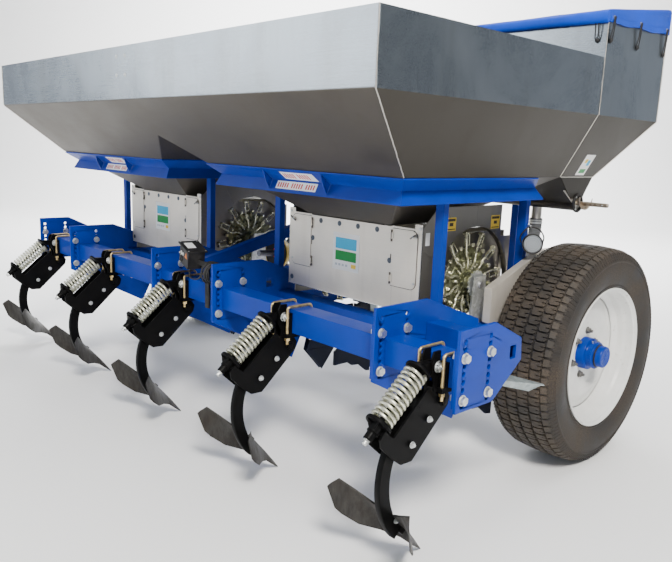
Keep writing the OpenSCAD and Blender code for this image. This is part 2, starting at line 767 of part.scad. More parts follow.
module shaft_bearings() {
    color(zinc) machine() both_sides() for (x = [322, unit_x + 452]) difference() {
        side_plate(x, 10) polygon([
            [pick_y - 60, side_rail_z + 80], [pick_y + 60, side_rail_z + 80],
            [pick_y + 38, pick_z + 38], [pick_y - 38, pick_z + 38]
        ]);
        translate([0, pick_y, pick_z]) rod_x(x - 5, x + 20, 15 + fit);
    }
}

// ---- Ground wheels ----
module at_wheel(s) machine() translate([s * wheel_x, wheel_y, tyre_r])
    mirror([s < 0 ? 1 : 0, 0, 0]) rotate([0, 90, 0]) children();

module tyre(s) {
    w = tyre_w / 2;
    bead = rim_r - 14;
    color("#2b2a28") at_wheel(s) rotate_extrude($fn = 96) polygon(concat(
        [[bead, -128], [bead + 32, -136], [400, -w], [440, -w + 2], [472, -w + 18]],
        [for (a = [-40 : 20 : 40]) [tyre_r - 8 + 8 * cos(a * 2.2), a * 3.0]],
        [[472, w - 18], [440, w - 2], [400, w], [bead + 32, 136], [bead, 128]]
    ));
}

module rim(s) {
    seat = rim_r - 14.2;
    color("#d5d6d4") at_wheel(s) {
        rotate_extrude($fn = 96) polygon([
            [rim_r, -143], [rim_r, -137], [seat, -130], [seat, -70], [seat - 28, -50],
            [seat - 28, 40], [seat, 60], [seat, 128], [rim_r, 137], [rim_r, 143],
            [rim_r - 6, 143], [seat - 6, 130], [seat - 6, 62], [seat - 34, 42],
            [seat - 34, -52], [seat - 6, -72], [seat - 6, -132], [rim_r - 6, -143]
        ]);
        // Dished disc
        rotate_extrude($fn = 96) polygon([
            [76, 28], [150, 28], [200, 44], [seat - 34.2, 20], [seat - 34.2, 30],
            [203, 52], [150, 36], [76, 36]
        ]);
    }
}

module hub(s) {
    studs = 6;
    stud_circle = 102.5;
    color(blue) at_wheel(s) difference() {
        union() {
            translate([0, 0, -182]) cylinder(h = 182, r = 42);
            translate([0, 0, 0]) cylinder(h = 27.8, r = 75);
            translate([0, 0, 12]) cylinder(h = 15.8, r = 130);
            translate([0, 0, 27.8]) cylinder(h = 50, r = 72);
            translate([0, 0, 77.8]) cylinder(h = 30, r = 58);
            translate([0, 0, 107.8]) cylinder(h = 38, r = 46);
        }
        translate([0, 0, -183]) cylinder(h = 283, r = 25 + fit);
    }
    color(zinc) at_wheel(s) {
        for (k = [0 : studs - 1]) rotate([0, 0, 360 / studs * k + 20]) translate([stud_circle, 0, 36.2]) {
            cylinder(h = 14, r = 14, $fn = 6);
            translate([0, 0, 14]) cylinder(h = 12, r = 8);
        }
        // Sprocket
        difference() {
            translate([0, 0, -196.5]) cylinder(h = 8, r = 70);
            translate([0, 0, -200]) cylinder(h = 20, r = 25 + fit);
        }
        difference() {
            translate([0, 0, -188.5]) cylinder(h = 6.5, r = 42);
            translate([0, 0, -200]) cylinder(h = 20, r = 25 + fit);
        }
    }
}

module stub_axles() {
    color("#77787a") machine() both_sides() translate([0, wheel_y, tyre_r]) {
        rod_x(1260, wheel_x + 95, 25);
        difference() {
            rod_x(1250, 1266, 40);
            rod_x(1240, 1270, 25);
        }
    }
}

// Folded stainless boxes over the drive chains
module chain_guards() {
    x0 = 1312;
    x1 = 1350;
    t = 2.5;
    path = [[724, 652], [724, 807], [1110, 945], [1230, 945], [1290, 860]];
    color(steel) machine() both_sides() {
        side_plate(x1 - t, t) polygon(concat(path, [[1290, 655]]));
        for (k = [0 : len(path) - 2]) {
            a = path[k];
            b = path[k + 1];
            d = (b - a) / norm(b - a);
            n = [d[1], -d[0]] * t;
            side_plate(x0, x1 - t - gap - x0)
                polygon([a + d * 1.5, b - d * 1.5, b - d * 1.5 + n, a + d * 1.5 + n]);
        }
    }
}

// ---- Furrow openers ----
module furrow_openers() {
    color("#10203f") machine() for (x = [-1215, -405, 405, 1215]) translate([x, 0, 0]) {
        // Boot under the pick wheels, open at the top
        for (m = [0, 1]) mirror([m, 0, 0]) {
            slab([[28, 560, 540], [28, 860, 540], [14, 860, 345], [9, 700, 345], [8, 494, 345]],
                 [[34, 560, 540], [34, 860, 540], [20, 860, 345], [15, 700, 345], [14, 494, 345]]);
            slab([[8, 494, 344.7], [9, 700, 344.7], [7, 605, 224]],
                 [[14, 494, 344.7], [15, 700, 344.7], [13, 605, 224]]);
        }
        slab([[-27, 860.5, 540], [27, 860.5, 540], [13, 860.5, 345], [-13, 860.5, 345]],
             [[-27, 868, 540], [27, 868, 540], [13, 868, 345], [-13, 868, 345]]);
        // Shank up to the frame
        block([-8, 869, 320], [8, 960, 545]);
        block([-55, 880, 545], [55, 950, 557]);
        // Share, with its point forward
        side_plate(-6.5, 13) polygon([
            [702, 220], [800, 220], [834, 197], [889, 191], [948, 145], [988, 137],
            [990, 243], [963, 277], [857, 332], [751, 326], [702, 296]
        ]);
    }
    // Cross ties from the boots to the rails
    color(blue) machine() both_sides() block([320, 890, 557.2], [1316, 940, 559.8]);
}

// ---- Hitch ----
module hitch_mast() {
    front = front_bar_y + 80;
    slope = (mast_z - 30 - 800) / (hitch_y - 90 - 212);
    color(blue) machine() {
        // Lower link brackets
        both_sides() for (x = [300, 352]) side_plate(x, 22) polygon([
            [front, 545], [front, 655], [hitch_y - 20, 655], [hitch_y + 45, 630],
            [hitch_y + 74, 600], [hitch_y + 45, 570], [hitch_y - 20, 545]
        ]);
        // Mast legs
        both_sides() side_plate(40, 14) difference() {
            polygon([[front, 545], [front, 655], [hitch_y - 120, mast_z + 10], [hitch_y - 95, mast_z + 45],
                     [hitch_y - 45, mast_z + 45], [hitch_y - 20, mast_z], [hitch_y - 40, mast_z - 45],
                     [front + 130, 545]]);
            translate([hitch_y - 70, mast_z]) circle(top_bore_r);
        }
        // Long brace from the mast back to the rear bar
        side_plate(-20, 40) polygon([
            [117, 716], [190, 716], [212, 752], [1640, 752 + 1428 * slope], [1640, 812 + 1428 * slope],
            [212, 812], [117, 790]
        ]);
    }
    color(zinc) machine() {
        // Lower link pins
        both_sides() translate([0, hitch_y, hitch_z]) rod_x(321, 462, lower_pin_r);
        // Bolt that holds the brace between the mast legs
        translate([0, hitch_y - 215, mast_z - 40]) rod_x(-64, 64, 10);
    }
}

// ---- Work lights and control box ----
module control_box() {
    color(black) machine() {
        // Flat post bolted to the rear bar
        block([232, 3, 600], [264, 11, 822]);
        block([232, 11, 640], [264, 16.6, 700]);
        // Tilted box with its lid, on an arm from the post
        translate([110, 6, 838]) rotate([0, 14, -12]) {
            translate([-60, -40, -50]) cube([120, 84, 88]);
            translate([-70, -48, 37]) cube([140, 100, 7]);
        }
        block([156, 3, 798], [326, 11, 820]);
    }
    // Lamp on the front post
    color(black) machine() translate([1347, 1010, 985]) rotate([0, 90, -50]) {
        cylinder(h = 32, r = 42);
    }
}

tine_arm(1);  // tine_arm_1
tine_arm(2);  // tine_arm_2
tine_arm(3);  // tine_arm_3
tine_arm(4);  // tine_arm_4
tine_arm(5);  // tine_arm_5
tine_shank(1);  // tine_shank_1
tine_shank(2);  // tine_shank_2
tine_shank(3);  // tine_shank_3
tine_shank(4);  // tine_shank_4
tine_shank(5);  // tine_shank_5
tine_sweep(1);  // tine_sweep_1
tine_sweep(2);  // tine_sweep_2
tine_sweep(3);  // tine_sweep_3
tine_sweep(4);  // tine_sweep_4
tine_sweep(5);  // tine_sweep_5
trip_spring(1);  // trip_spring_1
trip_spring(2);  // trip_spring_2
trip_spring(3);  // trip_spring_3
trip_spring(4);  // trip_spring_4
trip_spring(5);  // trip_spring_5
spring_rod(1);  // spring_rod_1
spring_rod(2);  // spring_rod_2
spring_rod(3);  // spring_rod_3
spring_rod(4);  // spring_rod_4
spring_rod(5);  // spring_rod_5
tine_brackets();
tine_u_bolts();
tool_bar();
frame_plates();
plate_bolts();
main_frame();
hopper_posts();
hopper_cradles();
seed_hopper();
seed_funnels();
picking_boxes();
side_covers();
box_door(-1, -1);  // box_door_1
box_door(-1, 1);  // box_door_2
box_door(1, -1);  // box_door_3
box_door(1, 1);  // box_door_4
pick_wheels(-1);  // pick_wheels_left
pick_wheels(1);  // pick_wheels_right
shaft_bearings();
fertiliser_hopper();
fertiliser_trough();
auger();
tarp();
tarp_straps();
tyre(-1);  // tyre_left
tyre(1);  // tyre_right
rim(-1);  // rim_left
rim(1);  // rim_right
hub(-1);  // hub_left
hub(1);  // hub_right
stub_axles();
chain_guards();
furrow_openers();
hitch_mast();
control_box();
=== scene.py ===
import math

import bmesh
import bpy
from mathutils import Matrix, Vector, noise


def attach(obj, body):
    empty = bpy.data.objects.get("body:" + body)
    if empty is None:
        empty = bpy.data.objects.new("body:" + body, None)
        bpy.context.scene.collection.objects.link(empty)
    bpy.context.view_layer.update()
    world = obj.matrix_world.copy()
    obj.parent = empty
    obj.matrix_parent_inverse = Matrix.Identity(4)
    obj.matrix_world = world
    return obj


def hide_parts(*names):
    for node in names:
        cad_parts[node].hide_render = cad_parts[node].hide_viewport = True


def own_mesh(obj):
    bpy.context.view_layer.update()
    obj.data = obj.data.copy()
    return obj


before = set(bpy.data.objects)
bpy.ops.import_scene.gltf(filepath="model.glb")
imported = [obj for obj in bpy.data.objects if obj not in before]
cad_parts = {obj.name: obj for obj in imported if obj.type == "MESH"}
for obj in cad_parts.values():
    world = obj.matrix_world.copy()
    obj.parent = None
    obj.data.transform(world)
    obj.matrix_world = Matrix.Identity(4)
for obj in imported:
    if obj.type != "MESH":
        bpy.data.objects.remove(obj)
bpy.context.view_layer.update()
noise.seed_set(1)  # without a seed, noise_vector gives other values each run

# ---------------------------------------------------------------- places, in millimetres
# y is measured forward of the bolt line of the tines, as in the part's own source.
# Profiles of turned shapes are (radius, distance along the axis).
BACK = 800
TINES = [-1620, -810, 0, 810, 1620]
BOLT_Z = 680
SPRING_DEG = 38.7
SEAT_LOW = (-240, -145)
SPRING_LEN = 215
PIVOT = (20, -120)
HOPPER = 1576
SEED = dict(back=-283, front=1056, top=1781, knuckle=1550, mid=1285, half=1430, mid_back=25, foot=206,
            ridge=1400)
MOUTH = dict(x0=561, x1=1063, y0=378, y1=701, z=1066)
FERT = dict(back=1060, front=1630, top=1950, knuckle=1550, mid=1285, half=1430, mid_front=1353)
AUGER = dict(y=1250, z=1165, r=29, trough=36, end=1414)
WHEEL = dict(x=1520, y=1190, z=494)
PICK = dict(y=735, z=812)
UNIT_X = 817.5
BOX_Y = 378
EYELET = [(5, 0), (5, 1.4), (7, 2.2), (9, 1.4), (9, 0)]
STRAP_Y = (1085, 1330, 1600)
STRAP_X = (300, 900, 1500)
CONTROL_BOX = (110, 6, 838)


def at(x, y, z):
    """A point in metres, from the machine's millimetres."""
    return Vector((x, y - BACK, z)) / 1000


def tine_at(i, x, y, z):
    """A point of tine i, from its bolt."""
    return at(TINES[i] + x, y, BOLT_Z + z)


# ---------------------------------------------------------------- camera and stage
def make_camera():
    """A camera behind the right-hand tine, turned a little about its own axis."""
    right = Vector((0.68055, 0.73173, 0.0378))
    down = Vector((0.16577, -0.10351, -0.98072))
    ahead = Vector((-0.71371, 0.67369, -0.19174))
    data = bpy.data.cameras.new("camera")
    data.lens = 37.01
    data.sensor_width = 36
    cam = bpy.data.objects.new("camera", data)
    bpy.context.scene.collection.objects.link(cam)
    turn = Matrix((right, -down, -ahead)).transposed().to_4x4()
    cam.matrix_world = Matrix.Translation((3.0, -2.554, 1.382)) @ turn
    data.clip_end = 200
    bpy.context.scene.camera = cam


make_camera()


# ---------------------------------------------------------------- materials
class Surface:
    """A node material: short calls for the textures that these finishes share."""

    def __init__(self, name, rough=0.5, metal=0.0, **sockets):
        self.mat = bpy.data.materials.new(name)
        self.mat.use_nodes = True
        self.tree = self.mat.node_tree
        self.shader = self.tree.nodes["Principled BSDF"]
        self.shader.inputs["Roughness"].default_value = rough
        self.shader.inputs["Metallic"].default_value = metal
        for key, value in sockets.items():
            self.shader.inputs[key.replace("_", " ")].default_value = value
        self.place = self.node("ShaderNodeTexCoord").outputs["Object"]

    def node(self, kind, **inputs):
        made = self.tree.nodes.new(kind)
        for key, value in inputs.items():
            self.put(made.inputs[key.replace("_", " ")], value)
        return made

    def put(self, socket, value):
        if isinstance(value, bpy.types.NodeSocket):
            self.tree.links.new(value, socket)
        else:
            socket.default_value = value

    def put_colour(self, socket, value):
        self.put(socket, value if isinstance(value, bpy.types.NodeSocket) else (*value, 1))

    def stretched(self, x, y, z):
        """Object coordinates scaled along each axis."""
        made = self.node("ShaderNodeMapping", Vector=self.place)
        made.inputs["Scale"].default_value = (x, y, z)
        return made.outputs["Vector"]

    def clouds(self, scale, detail=4.0, rough=0.55, place=None, warp=0.0):
        made = self.node("ShaderNodeTexNoise", Vector=place or self.place, Scale=scale,
                         Detail=detail, Roughness=rough, Distortion=warp)
        return made.outputs["Fac"]

    def ramp(self, value, low, high, out_low=0.0, out_high=1.0):
        """value spread from low..high to out_low..out_high, held at both ends."""
        made = self.node("ShaderNodeMapRange", Value=value)
        for key, number in zip(("From Min", "From Max", "To Min", "To Max"), (low, high, out_low, out_high)):
            made.inputs[key].default_value = number
        return made.outputs["Result"]

    def maths(self, kind, a, b):
        made = self.node("ShaderNodeMath")
        made.operation = kind
        self.put(made.inputs[0], a)
        self.put(made.inputs[1], b)
        return made.outputs[0]

    def blend(self, share, a, b):
        """Colour a where share is 0 and colour b where it is 1."""
        made = self.tree.nodes.new("ShaderNodeMix")
        made.data_type = "RGBA"
        self.put(made.inputs["Factor"], share)
        for socket, value in ((made.inputs[6], a), (made.inputs[7], b)):
            self.put_colour(socket, value)
        return made.outputs[2]

    def bump(self, value, distance, strength=1.0):
        last = self.shader.inputs["Normal"].links
        made = self.node("ShaderNodeBump", Height=value, Distance=distance, Strength=strength)
        if last:
            self.tree.links.new(last[0].from_socket, made.inputs["Normal"])
        self.tree.links.new(made.outputs["Normal"], self.shader.inputs["Normal"])

    def colour(self, value):
        self.put_colour(self.shader.inputs["Base Color"], value)

    def rough(self, value):
        self.put(self.shader.inputs["Roughness"], value)


def stainless(name, along, tone=0.5, tint=(1.0, 0.985, 0.96), matt=0.0, metal=1.0):
    """Brushed stainless sheet: fine grain along one axis, faint stains and drip marks."""
    s = Surface(name, metal=metal)
    grain = {"x": (6, 900, 900), "z": (900, 900, 6)}[along]
    fine = s.clouds(1.0, 3, 0.6, s.stretched(*grain))
    broad = s.clouds(2.2, 5, 0.6, warp=0.6)
    drips = s.clouds(1.0, 4, 0.6, s.stretched(9, 9, 0.8))
    light, dark = (tuple(tone * k * c for c in tint) for k in (1.0, 0.78))
    stain = tuple(0.62 * c * k for c, k in zip(light, (1, 0.93, 0.84)))
    base = s.blend(s.ramp(broad, 0.35, 0.7), dark, light)
    stained = s.blend(s.ramp(drips, 0.52, 0.75, 0, 0.35), base, stain)
    s.colour(s.blend(s.ramp(fine, 0.3, 0.7, 0, 0.25), stained, tuple(1.12 * c for c in light)))
    s.rough(s.maths("ADD", s.ramp(fine, 0.3, 0.7, 0.17 + matt, 0.25 + matt),
                    s.ramp(broad, 0.35, 0.75, 0, 0.16)))
    s.bump(fine, 0.00012)
    s.bump(s.clouds(1.3, 2, 0.5), 0.012)
    return s.mat


def toned(colour, share, extra=0.0):
    """A colour made lighter or darker, and no channel above 1."""
    return tuple(min(1, c * share + extra) for c in colour)


def paint(name, colour, dust, rough=0.3, coat=0.02, gloss=0.25):
    """Sprayed enamel with orange peel, dust, rubbed spots and small chips."""
    s = Surface(name, Coat_Weight=coat, Coat_Roughness=0.12, Specular_IOR_Level=gloss)
    broad = s.clouds(5, 5, 0.6, warp=0.4)
    speck = s.clouds(90, 3, 0.7)
    chips = s.ramp(s.clouds(38, 6, 0.75), 0.70, 0.74)
    shade = s.blend(s.ramp(broad, 0.3, 0.75), toned(colour, 0.82), toned(colour, 1.15))
    cover = s.maths("MULTIPLY", s.ramp(broad, 0.48, 0.85), s.ramp(speck, 0.35, 0.7, dust * 0.4, dust))
    dusty = s.blend(cover, shade, (0.20, 0.17, 0.13))
    s.colour(s.blend(s.maths("MULTIPLY", chips, 0.5), dusty, toned(colour, 0.4, 0.012)))
    s.rough(s.maths("ADD", s.ramp(broad, 0.3, 0.8, rough, rough + 0.2), s.ramp(chips, 0, 1, 0, 0.2)))
    s.bump(s.clouds(420, 2, 0.5), 0.0003, 0.5)
    s.bump(chips, -0.0003, 0.6)
    return s.mat


def plated(name, bright, dull, rough=0.28, spangle=70):
    """Zinc or similar plating: a patchwork of slightly different tones."""
    s = Surface(name, metal=0.9)
    patch = s.node("ShaderNodeTexVoronoi", Vector=s.place, Scale=spangle)
    broad = s.clouds(26, 5, 0.65)
    tone = s.blend(s.node("ShaderNodeSeparateColor", Color=patch.outputs["Color"]).outputs[0], dull, bright)
    s.colour(s.blend(s.ramp(broad, 0.55, 0.8, 0, 0.7), tone, toned(dull, 0.45)))
    s.rough(s.ramp(broad, 0.3, 0.8, rough, rough + 0.32))
    s.bump(s.clouds(160, 4, 0.6), 0.0005, 0.6)
    return s.mat


def worn_steel(name):
    """Ground-engaging steel: scoured grey with brown soil stain and pits."""
    s = Surface(name, metal=0.4, Specular_IOR_Level=0.3)
    broad = s.clouds(9, 6, 0.65, warp=0.5)
    scour = s.clouds(1, 4, 0.6, s.stretched(60, 60, 9))
    grey = s.blend(s.ramp(scour, 0.35, 0.65), (0.024, 0.022, 0.020), (0.048, 0.045, 0.041))
    s.colour(s.blend(s.ramp(broad, 0.5, 0.72, 0, 0.5), grey, (0.036, 0.027, 0.020)))
    s.rough(s.ramp(broad, 0.35, 0.7, 0.42, 0.68))
    s.bump(s.clouds(130, 5, 0.65), 0.0009, 0.7)
    return s.mat


def tyre_rubber(name, base=(0.020, 0.018, 0.017), dusty=0.5):
    """Black rubber, greyed and browned by dust in patches."""
    s = Surface(name, Specular_IOR_Level=0.35)
    broad = s.clouds(7, 5, 0.6)
    speck = s.clouds(240, 3, 0.7)
    dust = s.maths("MULTIPLY", s.ramp(broad, 0.36, 0.68), s.ramp(speck, 0.35, 0.62))
    s.colour(s.blend(s.maths("MULTIPLY", dust, dusty), base, (0.125, 0.092, 0.062)))
    s.rough(s.ramp(broad, 0.3, 0.7, 0.55, 0.85))
    s.bump(s.clouds(320, 4, 0.6), 0.0006, 0.8)
    return s.mat


def rim_paint(name):
    """Off-white paint with splashes of soil."""
    s = Surface(name, Coat_Weight=0.2, Coat_Roughness=0.25)
    broad = s.clouds(6, 5, 0.6, warp=0.6)
    splash = s.ramp(s.clouds(30, 5, 0.7), 0.60, 0.72, 0, 0.5)
    clean = s.blend(s.ramp(broad, 0.35, 0.7), (0.72, 0.72, 0.695), (0.82, 0.82, 0.795))
    s.colour(s.blend(splash, clean, (0.34, 0.29, 0.24)))
    s.rough(s.ramp(broad, 0.3, 0.7, 0.36, 0.55))
    s.bump(s.clouds(300, 2, 0.5), 0.0003, 0.5)
    return s.mat


def woven(name, colour):
    """Coated tarpaulin: a fine square weave under a slight sheen."""
    pitch = 0.0011  # of one thread, in metres
    s = Surface(name, rough=0.45, Sheen_Weight=0.06, Sheen_Roughness=0.4, Specular_IOR_Level=0.25)
    over = s.node("ShaderNodeTexWave", Vector=s.place, Scale=1 / pitch / 6.3)
    over.bands_direction = "X"
    under = s.node("ShaderNodeTexWave", Vector=s.place, Scale=1 / pitch / 6.3)
    under.bands_direction = "Y"
    weave = s.maths("MULTIPLY", over.outputs["Fac"], under.outputs["Fac"])
    broad = s.clouds(4, 5, 0.6)
    shade = s.blend(s.ramp(broad, 0.3, 0.75), toned(colour, 0.75), toned(colour, 1.2))
    s.colour(s.blend(s.ramp(s.clouds(50, 5, 0.7), 0.55, 0.8, 0, 0.10), shade, (0.20, 0.24, 0.34)))
    s.rough(s.ramp(broad, 0.3, 0.7, 0.38, 0.55))
    s.bump(weave, 0.0003, 0.5)
    s.bump(s.clouds(14, 4, 0.6), 0.003, 0.6)
    return s.mat


def rubber(name, colour=(0.014, 0.014, 0.015), rough=0.55):
    """Rubber or moulded plastic, greyed in patches."""
    s = Surface(name, Specular_IOR_Level=0.4)
    broad = s.clouds(22, 4, 0.6)
    s.colour(s.blend(s.ramp(broad, 0.4, 0.75, 0, 0.5), colour, (0.06, 0.055, 0.05)))
    s.rough(s.ramp(broad, 0.3, 0.7, rough, rough + 0.2))
    s.bump(s.clouds(260, 3, 0.6), 0.0003, 0.6)
    return s.mat


def printed(name, colour, rough=0.35):
    """A vinyl label in one ink, slightly scuffed."""
    s = Surface(name, Coat_Weight=0.08, Coat_Roughness=0.2, Specular_IOR_Level=0.3)
    scuff = s.clouds(120, 5, 0.7)
    s.colour(s.blend(s.ramp(scuff, 0.58, 0.75, 0, 0.3), colour, toned(colour, 0.6, 0.05)))
    s.rough(s.ramp(scuff, 0.3, 0.7, rough, rough + 0.2))
    s.bump(scuff, 0.0001, 0.4)
    return s.mat


def floor_finish():
    """A matt, nearly white floor."""
    s = Surface("floor_finish", rough=0.75)
    s.colour(s.blend(s.clouds(0.8, 3, 0.5), (0.965, 0.965, 0.96), (0.985, 0.985, 0.98)))
    s.bump(s.clouds(40, 3, 0.6), 0.001, 0.3)
    return s.mat


# Copies of one stainless in different tones and tints. On the hoppers, the upright walls' blue cast is a
# painted sky reflection. The slopes and end faces are darkened as painted shade, with a warm tint that is a
# painted reflection of the ground.
STEEL_PAINTED_SKY = stainless("stainless_long_painted_sky", "x", 0.47, (0.88, 0.95, 1.0))
STEEL_LOW_PAINTED_SHADE = stainless("stainless_slopes_painted_shade", "x", 0.135, (1.0, 0.91, 0.79), 0.26)
# Darkened stainless for the boxes' insides and ends and for the side covers, painted shade
STEEL_SIDE_PAINTED_SHADE = stainless("stainless_sides_painted_shade", "z", 0.26, (1.0, 0.95, 0.87), 0.12)
STEEL_END_PAINTED_SHADE = stainless("stainless_ends_painted_shade", "x", 0.062, (1.0, 0.91, 0.79), 0.16)
# Brightened stainless with a warm tint for the boxes' rear panels, doors and chain guards, painted light
STEEL_BOX_PAINTED_LIGHT = stainless("stainless_boxes_painted_light", "x", 0.88, (1.0, 0.935, 0.83), 0.26, metal=0.7)
STEEL_Z = stainless("stainless_upright", "z", 0.74, (1.0, 0.95, 0.86), 0.14)
# Painted highlight: bright stainless for the beads along the boxes' edges
STEEL_EDGE_HIGHLIGHT = stainless("stainless_edges_painted_highlight", "z", 0.75)
BLUE = paint("blue_enamel", (0.0002, 0.032, 0.325), dust=0.02, gloss=0.18)
BLACK = paint("black_enamel", (0.003, 0.003, 0.0033), dust=0.02, rough=0.42, gloss=0.07)
# Painted shade: blue enamel darkened nearly to black for the furrow openers, which stand in shade under the
# machine
OPENER_PAINTED_SHADE = paint("blue_enamel_painted_shade", (0.003, 0.007, 0.024), dust=0.1, rough=0.45, coat=0.03)
ZINC = plated("bright_zinc", (0.74, 0.76, 0.76), (0.52, 0.54, 0.52))
SPRING = plated("spring_zinc", (0.80, 0.79, 0.65), (0.52, 0.52, 0.40), rough=0.2, spangle=40)
YELLOW = plated("yellow_zinc", (0.80, 0.62, 0.30), (0.58, 0.42, 0.19))
PICK_ZINC = plated("pick_zinc", (0.30, 0.31, 0.19), (0.11, 0.115, 0.062), spangle=55)
GALVANISED = plated("galvanised", (0.52, 0.58, 0.58), (0.36, 0.42, 0.43), rough=0.42, spangle=45)
AUGER_STEEL = plated("auger_steel", (0.50, 0.44, 0.36), (0.26, 0.20, 0.14), rough=0.34)
PICK_BRIGHT = plated("pick_zinc_bright", (0.94, 0.92, 0.72), (0.62, 0.61, 0.42), rough=0.14, spangle=60)
DARK_STEEL = plated("dark_studs", (0.24, 0.235, 0.22), (0.13, 0.125, 0.12), rough=0.36)
AXLE = plated("turned_steel", (0.46, 0.46, 0.47), (0.30, 0.30, 0.31), rough=0.35)
SHARE = worn_steel("soil_worn_steel")
TYRE = tyre_rubber("tyre_rubber")
TREAD = tyre_rubber("tread_rubber", (0.034, 0.030, 0.026), 0.75)
RIM = rim_paint("rim_grey")
TARP = woven("tarpaulin", (0.003, 0.060, 0.56))
STRAP = rubber("strap_rubber")
PLASTIC = rubber("black_plastic", (0.006, 0.006, 0.007), 0.45)
HOSE = rubber("grey_hose", (0.16, 0.17, 0.18), 0.5)
WHITE = printed("label_white", (0.88, 0.89, 0.88))
GREEN = printed("label_green", (0.005, 0.26, 0.05))
SUN = printed("label_yellow", (0.80, 0.55, 0.05))
RED = printed("label_red", (0.55, 0.03, 0.03))
WARNING = printed("label_orange", (0.75, 0.20, 0.02))
CYAN = printed("label_cyan", (0.01, 0.42, 0.72))
HAZE = printed("label_haze", (0.50, 0.54, 0.60))
DARK_INK = printed("label_dark", (0.05, 0.035, 0.02))
PLUG = rubber("blanking_plug", (0.075, 0.095, 0.125), 0.4)
# Painted shadow, for the doors' gaps and the hinge knuckles
GAP_PAINTED_SHADOW = rubber("shadow_gap", (0.030, 0.024, 0.018), 0.7)
GUARD_YELLOW = printed("guard_yellow", (0.80, 0.52, 0.03), 0.45)
LAMP_GLASS = printed("lamp_lens", (0.36, 0.39, 0.42), 0.12)
LAMP_RING = printed("lamp_rings", (0.10, 0.11, 0.12), 0.2)


# ---------------------------------------------------------------- mesh helpers
X_AXIS = Vector((1, 0, 0))
UP = Vector((0, 0, 1))
SLAB = [(3, 2, 1, 0), (4, 5, 6, 7), (0, 1, 5, 4), (1, 2, 6, 5), (2, 3, 7, 6), (3, 0, 4, 7)]


def joined(rings, sides, closed=False):
    """Faces between rings of points; closed joins the last ring to the first."""
    faces = []
    for i in range(rings if closed else rings - 1):
        j = (i + 1) % rings
        for k in range(sides):
            m = (k + 1) % sides
            faces.append((i * sides + k, i * sides + m, j * sides + m, j * sides + k))
    return faces


def ring_frame(axis):
    """Two unit vectors square to axis and to each other."""
    axis = axis.normalized()
    side = axis.cross(UP if abs(axis.z) < 0.9 else X_AXIS).normalized()
    return side, axis.cross(side)


